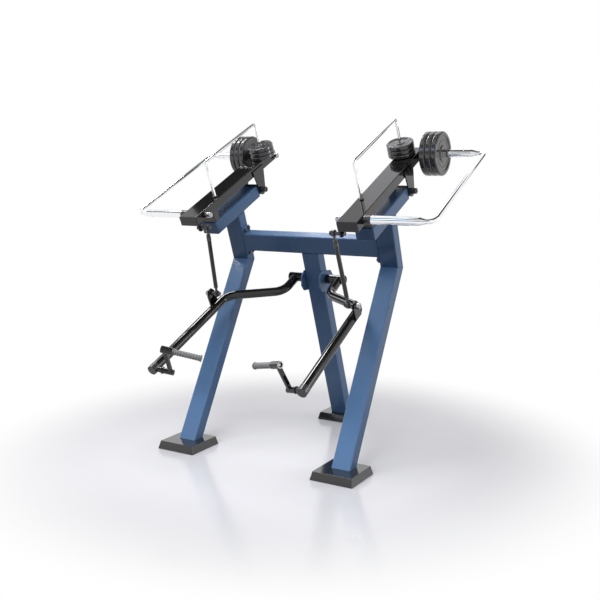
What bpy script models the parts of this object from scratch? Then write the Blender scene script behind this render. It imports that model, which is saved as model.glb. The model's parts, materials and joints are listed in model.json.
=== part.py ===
# Standing biceps machine with two independent lever arms.
# Metres, +Z up. The user stands in front of it and faces +Y.
# Sizes are first laid out with y = 0 at the front edge of the front shoes,
# then the whole model is moved so its footprint is centred on the origin.

from math import atan2, cos, pi, radians, sin, tan

import bmesh
import bpy
from mathutils import Vector

# Clearances
GAP = 0.0003
RUN_FIT = 0.0004

# Frame tubes
TUBE_W = 0.120
TUBE_D = 0.080
TUBE_WALL = 0.003
TUBE_CORNER = 0.008
BOX_CORNER = 0.004
SIDE_X = 0.548
LEG_TILT = radians(29.5)
UPRIGHT_TILT = radians(20.0)
KNEE_Z = 1.1412

# Shoes
SHOE = 0.270
SHOE_H = 0.050
SHOE_INSET = 0.012
REAR_SHOE_BACK = 0.012

# Cross beam and its bolted flanges
CROSS_UP = 0.137
CROSS_H = 0.120
FLANGE_T = 0.012
FLANGE_H = 0.200
FLANGE_BOLT = 0.082
FLANGE_SPREAD = 0.023
FLANGE_CHAMFER = 0.014
BOLT_R = 0.0105
BOLT_HEAD = 0.010

# Arm axle on the rear leg
AXLE_BELOW_KNEE = 0.1072
AXLE_R = 0.020
LUG_T = 0.010
LUG_Y = (-0.0905, 0.0865)
LUG_Z = (-0.079, 0.054)
LUG_CHAMFER = 0.034

# Arm
HUB_R = AXLE_R + 0.010
HUB_IN = TUBE_W / 2 + LUG_T + 0.005
HUB_LENGTH = 0.129
HUB_OUT = HUB_IN + HUB_LENGTH
HUB_CAP = 0.006
AXLE_REACH = HUB_OUT - HUB_CAP - 0.002
ARM_R = 0.0285
ARM_WALL = 0.003
ARM_ROOT = HUB_OUT - 0.044
ARM_BEND_1 = (0.166, 0.675, 0.955)
ARM_BEND_2 = (0.482, 0.478, 0.925)
ARM_TIP = (0.507, -0.246, 0.572)
ARM_RADIUS_1 = 0.115
ARM_RADIUS_2 = 0.115
EAR_T = 0.014
EAR_HALF = 0.037
EAR_TOP = 0.028

# Connecting rod, lower eye P and upper eye Q
P_X = 0.469
P_Y = 0.353
P_Z = 0.955
EAR_BESIDE = 0.040
EAR_X = P_X + EAR_BESIDE
Q_AHEAD = 0.713
Q_UP = 0.088
EYE_R = 0.021
EYE_W = 0.021
EYE_BORE_TOP = 0.0084
EYE_BORE_LOW = 0.0142
ROD_R = 0.013
ROD_THIN_R = 0.008
ROD_THIN_TOP = 0.055
ROD_THIN_LOW = 0.050
PIVOT_BOLT_R = 0.008
PIVOT_NUT_R = 0.0135
WASHER_R = 0.0175

# Lever box on its pivot B
B_Y = 0.907
B_Z = 1.6043
SLOPE = radians(25.3)
BOX_OVER = 0.004
BOX_W = TUBE_W + 2 * BOX_OVER
ROD_BESIDE = 0.044
Q_X = SIDE_X - BOX_W / 2 - ROD_BESIDE
BOX_ENDS = (-0.265, 0.738)
BOX_LAYER = (0.112, 0.172)
BOX_WALL = 0.003
BEAM_ENDS = (0.034, 0.563)
BEAM_HALF = 0.040
PIVOT_TUBE_R = 0.033
PIN_R = 0.0125
PIN_HEAD_R = 0.0185
PIN_OUT = 0.030
PIN_IN = 0.030
FORK_T = 0.008
FORK_ENDS = (-0.078, 0.062)
FORK_TOP = 0.152
FORK_TIP_R = 0.035
BUMPER_ENDS = (0.506, 0.555)
BUMPER_W = 0.110
ROD_LUG_T = 0.012
ROD_LUG_R = 0.023

# Outer rail with its disc sleeve
RAIL_UP = (BOX_LAYER[0] + BOX_LAYER[1]) / 2
RAIL_FRONT = 0.645
RAIL_REAR = -0.232
RAIL_R = 0.014
RAIL_X = 1.025
RAIL_BEND_FRONT = 0.045
RAIL_BEND_REAR = 0.035
SHANK_R = 0.012
COLLAR_R = 0.026
COLLAR_L = 0.046
REAR_COLLAR_L = 0.036
SLEEVE_R = 0.025
SLEEVE_END = 0.889
SLEEVE_TIP = 0.940
SLEEVE_TAPER = 0.970
RAIL_NUT_R = 0.0185
RAIL_NUT_FRONT = 0.048
RAIL_NUT_REAR = 0.036

# Upper rail
TOP_RAIL_X = SIDE_X - 0.031
TOP_RAIL_UP = 0.410
TOP_RAIL_ENDS = (-0.156, 0.462)
TOP_RAIL_R = 0.010
TOP_RAIL_BEND = 0.020
TOP_RAIL_FOOT = 0.030
FOOT_RING_R = 0.0130
FOOT_RING_H = 0.008

# Discs
DISC_COUNT = 3
BIG_R = 0.137
BIG_PITCH = 0.038
SMALL_R = 0.0855
SMALL_PITCH = 0.028

# Handle
SWIVEL_FROM_TIP = 0.022
SWIVEL_AXIS = (-0.9446, 0.2888, -0.1564)
NECK_R = 0.0165
STUB_RING_R = 0.0215
STUB_RING = (0.049, 0.060)
STUB_R = 0.011
SWIVEL_R = 0.0175
SWIVEL_END = 0.1245
LINK_AT = 0.105
LINK_VECTOR = (-0.027, -0.081, 0.1495)
LINK_W = 0.025
LINK_T = 0.020
GRIP_AXIS = (-0.905, 0.373, -0.203)
HOLDER_R = 0.0215
HOLDER_T = (-0.022, 0.048)
HOLDER_BORE = 0.0135
HOLDER_DEPTH = 0.018
GRIP_R = 0.0165
GRIP_END = 0.219
GRIP_FLANGE_R = 0.0205
GRIP_SHAFT_R = 0.0095

# Mesh fineness
ROUND = 20
PIPE = 14
DISC_ROUND = 28
BEND_STEPS = 5

# Colours
BLUE = (0.045, 0.105, 0.235)
BLACK = (0.006, 0.006, 0.007)
DARK = (0.018, 0.018, 0.020)
CHROME = (0.80, 0.81, 0.83)
RUBBER = (0.020, 0.020, 0.022)
GREY = (0.090, 0.095, 0.100)

# Directions used throughout, all in the Y-Z plane
X = Vector((1.0, 0.0, 0.0))
Y = Vector((0.0, 1.0, 0.0))
Z = Vector((0.0, 0.0, 1.0))
LEG_DIR = Vector((0.0, sin(LEG_TILT), cos(LEG_TILT)))
LEG_BACK = Vector((0.0, cos(LEG_TILT), -sin(LEG_TILT)))
UP_DIR = Vector((0.0, -sin(UPRIGHT_TILT), cos(UPRIGHT_TILT)))
UP_BACK = Vector((0.0, cos(UPRIGHT_TILT), sin(UPRIGHT_TILT)))
E_F = Vector((0.0, -cos(SLOPE), -sin(SLOPE)))
E_N = Vector((0.0, -sin(SLOPE), cos(SLOPE)))
KNEE = Vector((0.0, SHOE / 2 + KNEE_Z * tan(LEG_TILT), KNEE_Z))
PIVOT = Vector((0.0, B_Y, B_Z))
AXLE = Vector((0.0, KNEE.y + AXLE_BELOW_KNEE * tan(UPRIGHT_TILT), KNEE.z - AXLE_BELOW_KNEE))
SWIVEL = Vector(SWIVEL_AXIS).normalized()
GRIP = Vector(GRIP_AXIS).normalized()
LINK = Vector(LINK_VECTOR)

made = []


def on_box(x, f, n):
    """Point given in the sloping frame of the lever box."""
    return PIVOT + X * x + E_F * f + E_N * n


def clear_scene():
    for old in list(bpy.data.objects):
        bpy.data.objects.remove(old, do_unlink=True)


def finish_material(name, colour, metallic, roughness):
    material = bpy.data.materials.new(name)
    material.use_nodes = True
    shader = material.node_tree.nodes["Principled BSDF"]
    shader.inputs["Base Color"].default_value = (*colour, 1.0)
    shader.inputs["Metallic"].default_value = metallic
    shader.inputs["Roughness"].default_value = roughness
    material.diffuse_color = (*colour, 1.0)
    return material


def solid(bm, side):
    """Turn a bmesh into a loose object, mirrored for the left side."""
    for vert in bm.verts:
        vert.co.x *= side
    bmesh.ops.remove_doubles(bm, verts=bm.verts, dist=0.00001)
    bmesh.ops.recalc_face_normals(bm, faces=bm.faces)
    mesh = bpy.data.meshes.new("solid")
    bm.to_mesh(mesh)
    bm.free()
    thing = bpy.data.objects.new("solid", mesh)
    bpy.context.scene.collection.objects.link(thing)
    return thing


def tidy(mesh):
    """Merge the near-identical points a Boolean leaves behind."""
    bm = bmesh.new()
    bm.from_mesh(mesh)
    bmesh.ops.remove_doubles(bm, verts=bm.verts, dist=0.000005)
    bm.to_mesh(mesh)
    bm.free()


def combine(target, other, operation):
    """Boolean of two loose objects. The second one is used up."""
    modifier = target.modifiers.new("combine", "BOOLEAN")
    modifier.operation = operation
    modifier.solver = "EXACT"
    modifier.object = other
    graph = bpy.context.evaluated_depsgraph_get()
    mesh = bpy.data.meshes.new_from_object(target.evaluated_get(graph))
    target.modifiers.clear()
    tidy(mesh)
    target.data = mesh
    bpy.data.objects.remove(other, do_unlink=True)
    return target


def join(first, *others):
    for other in others:
        combine(first, other, "UNION")
    return first


def cut(first, *others):
    for other in others:
        combine(first, other, "DIFFERENCE")
    return first


def node(thing, name, look, origin):
    """Name the object, put its origin on the given point and give it a material."""
    colour, metallic, roughness = look
    for vert in thing.data.vertices:
        vert.co -= origin
    thing.location = origin
    thing.name = name
    thing.data.name = name
    thing.data.materials.clear()
    thing.data.materials.append(finish_material(name, colour, metallic, roughness))
    made.append(thing)
    return thing


def mirrored(point, side):
    return Vector((point.x * side, point.y, point.z))


def skin(bm, loops, closed):
    """Faces between neighbouring loops of equal length or single points."""
    pairs = list(zip(loops, loops[1:]))
    if closed:
        pairs.append((loops[-1], loops[0]))
    for one, two in pairs:
        count = max(len(one), len(two))
        if count == 1:
            continue
        for k in range(count):
            m = (k + 1) % count
            if len(one) == 1:
                bm.faces.new((one[0], two[k], two[m]))
            elif len(two) == 1:
                bm.faces.new((one[k], one[m], two[0]))
            else:
                bm.faces.new((one[k], one[m], two[m], two[k]))


def circle(bm, centre, u, v, radius, count):
    if radius < 0.000001:
        return [bm.verts.new(centre)]
    turns = [2 * pi * k / count for k in range(count)]
    return [bm.verts.new(centre + u * radius * cos(t) + v * radius * sin(t)) for t in turns]


def side_axes(direction):
    helper = Z if abs(direction.z) < 0.9 else Y
    u = direction.cross(helper).normalized()
    return u, direction.cross(u).normalized()


def turned(base, direction, profile, side=1, count=ROUND, closed=False):
    """Lathe a list of (distance, radius) pairs round an axis."""
    bm = bmesh.new()
    u, v = side_axes(direction)
    loops = [circle(bm, base + direction * t, u, v, r, count) for t, r in profile]
    skin(bm, loops, closed)
    return solid(bm, side)


def rod(start, end, radius, side=1, count=ROUND):
    line = end - start
    profile = [(0.0, 0.0), (0.0, radius), (line.length, radius), (line.length, 0.0)]
    return turned(start, line.normalized(), profile, side, count)


def corners(width, depth, radius):
    """Rounded rectangle as 2-D points, three points on each corner."""
    points = []
    for k, (sx, sy) in enumerate(((1, 1), (-1, 1), (-1, -1), (1, -1))):
        for step in range(3):
            turn = (k + step / 2) * pi / 2
            px = sx * (width / 2 - radius) + radius * cos(turn)
            py = sy * (depth / 2 - radius) + radius * sin(turn)
            points.append((px, py))
    return points


def meet(point, direction, plane):
    """Where a line through the point crosses a (point, normal) plane."""
    origin, normal = plane
    return point + direction * ((origin - point).dot(normal) / direction.dot(normal))


def hollow_bar(base, direction, u, v, size, start, end, side=1, wall=TUBE_WALL, corner=TUBE_CORNER):
    """Rectangular tube between two planes, open at both ends."""
    bm = bmesh.new()
    width, depth = size
    inner_corner = max(corner - wall, 0.002)
    outer = corners(width, depth, corner)
    inner = corners(width - 2 * wall, depth - 2 * wall, inner_corner)
    loops = []
    for shape, plane in ((outer, start), (outer, end), (inner, end), (inner, start)):
        ends = [meet(base + u * a + v * b, direction, plane) for a, b in shape]
        loops.append([bm.verts.new(p) for p in ends])
    skin(bm, loops, True)
    return solid(bm, side)


def block(base, u, v, w, ranges, side=1):
    """Box from three (low, high) ranges along three directions."""
    bm = bmesh.new()
    (a0, a1), (b0, b1), (c0, c1) = ranges
    loops = []
    for c in (c0, c1):
        flat = ((a0, b0), (a1, b0), (a1, b1), (a0, b1))
        loops.append([bm.verts.new(base + u * a + v * b + w * c) for a, b in flat])
    skin(bm, loops, False)
    bm.faces.new(loops[0])
    bm.faces.new(loops[1])
    return solid(bm, side)


def plate(base, u, v, w, outline, thickness, side=1):
    """Flat plate from a 2-D outline, thick along w."""
    bm = bmesh.new()
    loops = []
    for c in (0.0, thickness):
        loops.append([bm.verts.new(base + u * a + v * b + w * c) for a, b in outline])
    skin(bm, loops, False)
    bm.faces.new(loops[0])
    bm.faces.new(loops[1])
    return solid(bm, side)


def end_cap(base, direction, u, v, size, low, high, side=1, corner=TUBE_CORNER):
    """Closing plate of a rectangular tube, set one millimetre inside its skin."""
    outline = corners(size[0] - 0.002, size[1] - 0.002, corner - 0.001)
    return plate(base + direction * low, u, v, direction, outline, high - low, side)


def rounded_path(points, radii):
    """Polyline whose inner corners are replaced by arcs."""
    path = [points[0]]
    for k in range(1, len(points) - 1):
        before = (points[k - 1] - points[k]).normalized()
        after = (points[k + 1] - points[k]).normalized()
        half = before.angle(after) / 2
        reach = radii[k - 1] / tan(half)
        centre = points[k] + (before + after).normalized() * (radii[k - 1] / sin(half))
        first = points[k] + before * reach - centre
        last = points[k] + after * reach - centre
        whole = first.angle(last)
        for step in range(BEND_STEPS + 1):
            part = step / BEND_STEPS
            mix = first * sin((1 - part) * whole) + last * sin(part * whole)
            path.append(centre + mix / sin(whole))
    path.append(points[-1])
    return path


def path_loops(bm, path, radius, count):
    """Circles carried along a path without twisting."""
    loops = []
    u = None
    for k, point in enumerate(path):
        ahead = path[min(k + 1, len(path) - 1)] - point
        behind = point - path[max(k - 1, 0)]
        direction = (ahead.normalized() + behind.normalized()).normalized()
        if u is None:
            u, v = side_axes(direction)
        u = (u - direction * u.dot(direction)).normalized()
        v = direction.cross(u).normalized()
        loops.append(circle(bm, point, u, v, radius, count))
    return loops


def pipe(path, radius, side=1, wall=0.0, count=PIPE):
    """Bent bar, or a tube open at its start and capped at its end."""
    bm = bmesh.new()
    outer = path_loops(bm, path, radius, count)
    end = bm.verts.new(path[-1])
    if wall == 0.0:
        start = bm.verts.new(path[0])
        skin(bm, [[start]] + outer + [[end]], False)
        return solid(bm, side)
    shorter = path[:-1] + [path[-1] - (path[-1] - path[-2]).normalized() * wall]
    inner = path_loops(bm, shorter, radius - wall, count)
    inner_end = bm.verts.new(shorter[-1])
    skin(bm, [[inner_end]] + inner[::-1] + outer + [[end]], False)
    return solid(bm, side)


def label(base, side):
    return base + ("_right" if side > 0 else "_left")


# Frame

def build_shoe(name, x, y):
    bm = bmesh.new()
    loops = []
    top = SHOE / 2 - SHOE_INSET
    levels = ((SHOE / 2, 0.0), (SHOE / 2, 0.004), (top, SHOE_H - 0.003), (top - 0.003, SHOE_H))
    for half, z in levels:
        flat = ((half, half), (-half, half), (-half, -half), (half, -half))
        loops.append([bm.verts.new((x + a, y + b, z)) for a, b in flat])
    skin(bm, loops, False)
    bm.faces.new(loops[0])
    bm.faces.new(loops[-1])
    node(solid(bm, 1), name, (BLACK, 0.0, 0.25), Vector((x, y, 0.0)))


def build_leg(side):
    base = KNEE + X * SIDE_X
    mitre = (LEG_DIR + UP_DIR).normalized()
    foot = (Vector((0.0, 0.0, SHOE_H + GAP)), Z)
    top = (base - mitre * GAP / 2, mitre)
    tube = hollow_bar(base, LEG_DIR, X, LEG_BACK, (TUBE_W, TUBE_D), foot, top, side)
    node(tube, label("leg", side), (BLUE, 0.0, 0.35), mirrored(base, side))


def build_upright(side):
    base = KNEE + X * SIDE_X
    mitre = (LEG_DIR + UP_DIR).normalized()
    start = (base + mitre * GAP / 2, mitre)
    end = (on_box(SIDE_X, 0.0, -BEAM_HALF - GAP), E_N)
    tube = hollow_bar(base, UP_DIR, X, UP_BACK, (TUBE_W, TUBE_D), start, end, side)
    node(tube, label("upright", side), (BLUE, 0.0, 0.35), mirrored(base, side))


def upright_under_beam():
    """Where the upright's axis meets the beam, as a distance along the box."""
    top = meet(KNEE, UP_DIR, (on_box(0.0, 0.0, -BEAM_HALF), E_N))
    return (top - PIVOT).dot(E_F)


def build_top_beam(side):
    base = on_box(SIDE_X, 0.0, 0.0)
    front = (on_box(0.0, BEAM_ENDS[1] - TUBE_WALL, 0.0), E_F)
    rear = (on_box(0.0, BEAM_ENDS[0], 0.0), E_F)
    beam = hollow_bar(base, E_F, X, E_N, (TUBE_W, 2 * BEAM_HALF), rear, front, side)
    half = TUBE_W / 2
    neck = half - 0.001
    size = (TUBE_W, 2 * BEAM_HALF)
    cap = end_cap(base, E_F, X, E_N, size, BEAM_ENDS[1] - 0.006, BEAM_ENDS[1], side)
    back = end_cap(base, E_F, X, E_N, size, BEAM_ENDS[0] - 0.001, BEAM_ENDS[0] + 0.004, side)
    saddle = block(base, X, E_N, E_F, ((0.002 - neck, neck - 0.002), (-0.026, 0.026),
                                       (0.016, BEAM_ENDS[0] + 0.002)), side)
    tube = rod(base - X * neck, base + X * neck, PIVOT_TUBE_R, side)
    join(beam, cap, back, saddle, tube)
    bore = rod(base - X * half, base + X * half, PIN_R + RUN_FIT, side)
    spot = on_box(SIDE_X, upright_under_beam(), -BEAM_HALF)
    drain = rod(spot - E_N * 0.010, spot + E_N * 0.010, 0.020, side)
    cut(beam, bore, drain)
    node(beam, label("top_beam", side), (BLUE, 0.0, 0.35), mirrored(base, side))


def build_cross_beam():
    base = KNEE + UP_DIR * CROSS_UP
    reach = SIDE_X - TUBE_W / 2 - FLANGE_T - 2 * GAP
    left = (base - X * reach, X)
    right = (base + X * reach, X)
    tube = hollow_bar(base, X, UP_BACK, UP_DIR, (TUBE_D, CROSS_H), left, right)
    node(tube, "cross_beam", (BLUE, 0.0, 0.35), base)


def build_flange(side):
    inner = SIDE_X - TUBE_W / 2 - FLANGE_T - GAP
    base = KNEE + UP_DIR * CROSS_UP + X * inner
    a = TUBE_D / 2
    b = FLANGE_H / 2
    c = FLANGE_CHAMFER
    outline = ((a - c, b), (a, b - c), (a, c - b), (a - c, -b), (c - a, -b), (-a, c - b), (-a, b - c),
               (c - a, b))
    flange = plate(base, UP_BACK, UP_DIR, X, outline, FLANGE_T, side)
    for back, up in ((-1, -1), (-1, 1), (1, -1), (1, 1)):
        spot = base + UP_DIR * up * FLANGE_BOLT + UP_BACK * back * FLANGE_SPREAD
        head = rod(spot - X * BOLT_HEAD, spot + X * FLANGE_T * 0.5, BOLT_R, side, 6)
        join(flange, head)
    node(flange, label("flange", side), (BLUE, 0.0, 0.35), mirrored(base, side))


def build_rear_leg():
    top = (KNEE + UP_DIR * (CROSS_UP - CROSS_H / 2 - GAP), UP_DIR)
    foot = (Vector((0.0, 0.0, SHOE_H + GAP)), Z)
    tube = hollow_bar(KNEE, UP_DIR, X, UP_BACK, (TUBE_W, TUBE_D), foot, top)
    half = TUBE_W / 2 + 0.010
    cut(tube, rod(AXLE - X * half, AXLE + X * half, AXLE_R + GAP))
    node(tube, "rear_leg", (BLUE, 0.0, 0.35), KNEE.copy())


def build_arm_axle():
    y0, y1 = LUG_Y
    z0, z1 = LUG_Z
    c = LUG_CHAMFER
    outline = ((y0 + c, z0), (y1 - c, z0), (y1, z0 + c), (y1, z1 - c), (y1 - c, z1), (y0 + c, z1),
               (y0, z1 - c), (y0, z0 + c))
    axle = rod(AXLE - X * AXLE_REACH, AXLE + X * AXLE_REACH, AXLE_R)
    inner = TUBE_W / 2 + GAP
    right = plate(AXLE + X * inner, Y, Z, X, outline, LUG_T)
    left = plate(AXLE - X * inner, Y, Z, -X, outline, LUG_T)
    join(axle, right, left)
    node(axle, "arm_axle", (BLUE, 0.0, 0.35), AXLE.copy())


def build_bumper(side):
    base = on_box(SIDE_X, 0.0, 0.0)
    half = BUMPER_W / 2
    pad = block(base, X, E_F, E_N, ((-half, half), BUMPER_ENDS, (BEAM_HALF + GAP, BOX_LAYER[0] - GAP)), side)
    node(pad, label("bumper", side), (RUBBER, 0.0, 0.6),
         mirrored(base + E_N * BEAM_HALF + E_F * BUMPER_ENDS[0], side))


# Lever

def build_lever_box(side):
    base = on_box(SIDE_X, 0.0, (BOX_LAYER[0] + BOX_LAYER[1]) / 2)
    size = (BOX_W, BOX_LAYER[1] - BOX_LAYER[0])
    wall = BOX_WALL
    rear = (on_box(0.0, BOX_ENDS[0], 0.0), E_F)
    front = (on_box(0.0, BOX_ENDS[1], 0.0), E_F)
    tube = hollow_bar(base, E_F, X, E_N, size, rear, front, side, wall, BOX_CORNER)
    for low in (BOX_ENDS[0] + 0.001, BOX_ENDS[1] - wall - 0.001):
        join(tube, end_cap(base, E_F, X, E_N, size, low, low + wall, side, BOX_CORNER))
    half = BOX_W / 2 + 0.020
    for f in (RAIL_FRONT, RAIL_REAR):
        spot = on_box(SIDE_X, f, RAIL_UP)
        cut(tube, rod(spot - X * half, spot + X * half, SHANK_R + GAP, side))
    for f in TOP_RAIL_ENDS:
        spot = on_box(TOP_RAIL_X, f, BOX_LAYER[1])
        cut(tube, rod(spot - E_N * 0.010, spot + E_N * 0.010, TOP_RAIL_R + GAP, side))
    node(tube, label("lever_box", side), (BLACK, 0.0, 0.12), mirrored(on_box(SIDE_X, 0.0, 0.0), side))


def fork_outline():
    """Round tip about the pivot, widening up to the side of the box."""
    rear, front = FORK_ENDS
    points = [(front, FORK_TOP), (rear, FORK_TOP)]
    start = atan2(BOX_LAYER[0], rear) + pi / 2 - 0.30
    end = atan2(BOX_LAYER[0], front) - pi / 2 + 0.30 + 2 * pi
    for k in range(13):
        turn = start + (end - start) * k / 12
        points.append((FORK_TIP_R * cos(turn), FORK_TIP_R * sin(turn)))
    return points


def build_fork(side, name, x):
    base = on_box(x, 0.0, 0.0)
    fork = plate(base, E_F, E_N, X, fork_outline(), FORK_T, side)
    cut(fork, rod(base - X * 0.020, base + X * 0.030, PIN_R + GAP, side))
    node(fork, label(name, side), (BLACK, 0.0, 0.2), mirrored(base, side))


def build_lever_pin(side):
    base = on_box(SIDE_X, 0.0, 0.0)
    outer = BOX_W / 2 + FORK_T + 2 * GAP
    profile = [(-outer - PIN_IN, 0.0), (-outer - PIN_IN, PIN_HEAD_R - 0.003),
               (-outer - PIN_IN + 0.003, PIN_HEAD_R),
               (-outer, PIN_HEAD_R), (-outer, PIN_R), (outer, PIN_R), (outer, PIN_HEAD_R),
               (outer + PIN_OUT - 0.003, PIN_HEAD_R), (outer + PIN_OUT, PIN_HEAD_R - 0.003),
               (outer + PIN_OUT, 0.0)]
    pin = turned(base, X, profile, side)
    node(pin, label("lever_pin", side), (BLACK, 0.0, 0.3), mirrored(base, side))


def build_rod_lug(side):
    x = SIDE_X - BOX_W / 2
    base = on_box(x, Q_AHEAD, Q_UP)
    top = BOX_LAYER[0] - GAP - Q_UP
    points = [(ROD_LUG_R, top), (-ROD_LUG_R, top)]
    for k in range(13):
        turn = pi + pi * k / 12
        points.append((ROD_LUG_R * cos(turn), ROD_LUG_R * sin(turn)))
    lug = plate(base, E_F, E_N, X, points, ROD_LUG_T, side)
    cut(lug, rod(base - X * 0.010, base + X * 0.030, PIVOT_BOLT_R + GAP, side))
    node(lug, label("rod_lug", side), (BLACK, 0.0, 0.2), mirrored(base, side))


def build_outer_rail(side):
    start = SIDE_X - BOX_W / 2
    end = SIDE_X + BOX_W / 2 + GAP
    n = RAIL_UP
    rail_start = end + COLLAR_L * 0.5
    points = [on_box(rail_start, RAIL_FRONT, n), on_box(RAIL_X, RAIL_FRONT, n),
              on_box(RAIL_X, RAIL_REAR, n), on_box(rail_start, RAIL_REAR, n)]
    rail = pipe(rounded_path(points, (RAIL_BEND_FRONT, RAIL_BEND_REAR)), RAIL_R, side)
    sleeve = [(SLEEVE_END, SLEEVE_R), (SLEEVE_END, SLEEVE_R - 0.001),
              (SLEEVE_TIP, SLEEVE_R - 0.001), (SLEEVE_TAPER, RAIL_R + 0.001), (SLEEVE_TAPER, 0.0)]
    nut = start - GAP - RAIL_NUT_FRONT
    front = [(nut, 0.0), (nut, RAIL_NUT_R), (start - GAP, RAIL_NUT_R), (start - GAP, SHANK_R),
             (end, SHANK_R),
             (end, COLLAR_R), (end + COLLAR_L, COLLAR_R), (end + COLLAR_L, SLEEVE_R)] + sleeve
    nut = start - GAP - RAIL_NUT_REAR
    rear = [(nut, 0.0), (nut, RAIL_NUT_R), (start - GAP, RAIL_NUT_R), (start - GAP, SHANK_R),
            (end, SHANK_R),
            (end, COLLAR_R + 0.006), (end + REAR_COLLAR_L, COLLAR_R + 0.006),
            (end + REAR_COLLAR_L, SLEEVE_R)] + sleeve
    join(rail, turned(on_box(0.0, RAIL_FRONT, n), X, front, side),
         turned(on_box(0.0, RAIL_REAR, n), X, rear, side))
    node(rail, label("outer_rail", side), (CHROME, 1.0, 0.08), mirrored(on_box(SIDE_X, 0.0, n), side))


def build_upper_rail(side):
    low = BOX_LAYER[1] - TOP_RAIL_FOOT
    x = TOP_RAIL_X
    rear, front = TOP_RAIL_ENDS
    points = [on_box(x, rear, low), on_box(x, rear, TOP_RAIL_UP), on_box(x, front, TOP_RAIL_UP),
              on_box(x, front, low)]
    rail = pipe(rounded_path(points, (TOP_RAIL_BEND, TOP_RAIL_BEND)), TOP_RAIL_R, side)
    foot = on_box(x, front, BOX_LAYER[1] + GAP)
    join(rail, rod(foot, foot + E_N * FOOT_RING_H, FOOT_RING_R, side))
    node(rail, label("upper_rail", side), (CHROME, 1.0, 0.08), mirrored(on_box(x, rear, BOX_LAYER[1]), side))


def disc_profile(radius, bore, thickness):
    """Cross-section of a weight disc: flat back, dished web and hub in front."""
    t = thickness
    rim = radius * 0.80
    web = t * 0.16
    hub = radius * 0.36
    return [(0.0, bore), (0.0, radius), (t, radius), (t, rim), (t - web, rim - web), (t - web, hub + web),
            (t, hub), (t, bore)]


def build_big_disc(side, number):
    low = SIDE_X + BOX_W / 2 + GAP + REAR_COLLAR_L + GAP + BIG_PITCH * (number - 1)
    base = on_box(low, RAIL_REAR, RAIL_UP)
    profile = disc_profile(BIG_R, SLEEVE_R + GAP, BIG_PITCH - GAP)
    disc = turned(base, X, profile, side, DISC_ROUND, True)
    node(disc, label("big_disc_%d" % number, side), (DARK, 0.2, 0.4), mirrored(base, side))


def build_small_disc(side, number):
    low = BOX_LAYER[1] + GAP + SMALL_PITCH * (number - 1)
    base = on_box(TOP_RAIL_X, TOP_RAIL_ENDS[0], low)
    profile = disc_profile(SMALL_R, TOP_RAIL_R + GAP, SMALL_PITCH - GAP)
    disc = turned(base, E_N, profile, side, DISC_ROUND, True)
    node(disc, label("small_disc_%d" % number, side), (DARK, 0.2, 0.4), mirrored(base, side))


# Connecting rod

def build_rod(side):
    top = on_box(Q_X, Q_AHEAD, Q_UP)
    low = Vector((P_X, P_Y, P_Z))
    line = (low - top).normalized()
    length = (low - top).length
    a = ROD_THIN_TOP
    b = length - ROD_THIN_LOW
    profile = [(EYE_R * 0.7, 0.0), (EYE_R * 0.7, ROD_THIN_R), (a, ROD_THIN_R), (a, ROD_R), (b, ROD_R),
               (b, ROD_THIN_R), (length - EYE_R * 0.8, ROD_THIN_R), (length - EYE_R * 0.8, 0.0)]
    bar = turned(top, line, profile, side, PIPE)
    half = EYE_W / 2
    for eye, bore in ((top, EYE_BORE_TOP), (low, EYE_BORE_LOW)):
        join(bar, rod(eye - X * half, eye + X * half, EYE_R, side))
        cut(bar, rod(eye - X * 0.020, eye + X * 0.020, bore, side))
    node(bar, label("rod", side), (BLACK, 0.0, 0.3), mirrored(top, side))


def pivot_bolt(base, parts, side):
    """Bolt along x made of (start, end, radius) lengths."""
    profile = [(parts[0][0], 0.0)]
    for start, end, radius in parts:
        profile += [(start, radius), (end, radius)]
    profile.append((parts[-1][1], 0.0))
    return turned(base, X, profile, side, PIPE)


def build_upper_bolt(side):
    eye = on_box(0.0, Q_AHEAD, Q_UP)
    inner = Q_X - EYE_W / 2 - GAP
    outer = Q_X + EYE_W / 2 + GAP
    lug = SIDE_X - BOX_W / 2
    far = lug + ROD_LUG_T + GAP
    parts = [(inner - 0.014, inner - 0.002, PIVOT_NUT_R), (inner - 0.002, inner, WASHER_R),
             (inner, outer, PIVOT_BOLT_R), (outer, outer + 0.002, WASHER_R),
             (outer + 0.002, lug - GAP, PIVOT_NUT_R - 0.002), (lug - GAP, far, PIVOT_BOLT_R),
             (far, far + 0.017, PIVOT_NUT_R)]
    bolt = pivot_bolt(eye, parts, side)
    node(bolt, label("rod_bolt_upper", side), (DARK, 0.6, 0.35), mirrored(on_box(Q_X, Q_AHEAD, Q_UP), side))


def build_lower_bolt(side):
    eye = Vector((0.0, P_Y, P_Z))
    inner = P_X - EYE_W / 2 - GAP
    outer = P_X + EYE_W / 2 + GAP
    far = EAR_X + EAR_T + GAP
    parts = [(inner - 0.014, inner - 0.002, PIVOT_NUT_R), (inner - 0.002, inner, WASHER_R),
             (inner, outer, PIVOT_BOLT_R), (outer, outer + 0.002, WASHER_R),
             (outer + 0.002, EAR_X - GAP, PIVOT_NUT_R - 0.002), (EAR_X - GAP, far, PIVOT_BOLT_R),
             (far, far + 0.024, WASHER_R)]
    bolt = pivot_bolt(eye, parts, side)
    node(bolt, label("rod_bolt_lower", side), (DARK, 0.6, 0.35), mirrored(Vector((P_X, P_Y, P_Z)), side))


# Arm

def arm_path():
    root = Vector((ARM_ROOT, AXLE.y, AXLE.z))
    points = [root, Vector(ARM_BEND_1), Vector(ARM_BEND_2), Vector(ARM_TIP)]
    return rounded_path(points, (ARM_RADIUS_1, ARM_RADIUS_2))


def build_arm_tube(side):
    tube = pipe(arm_path(), ARM_R, side, ARM_WALL, 18)
    cut(tube, rod(AXLE + X * (HUB_IN - 0.05), AXLE + X * (HUB_OUT + 0.05), HUB_R + GAP, side))
    node(tube, label("arm_tube", side), (BLACK, 0.0, 0.1), mirrored(AXLE, side))


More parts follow.
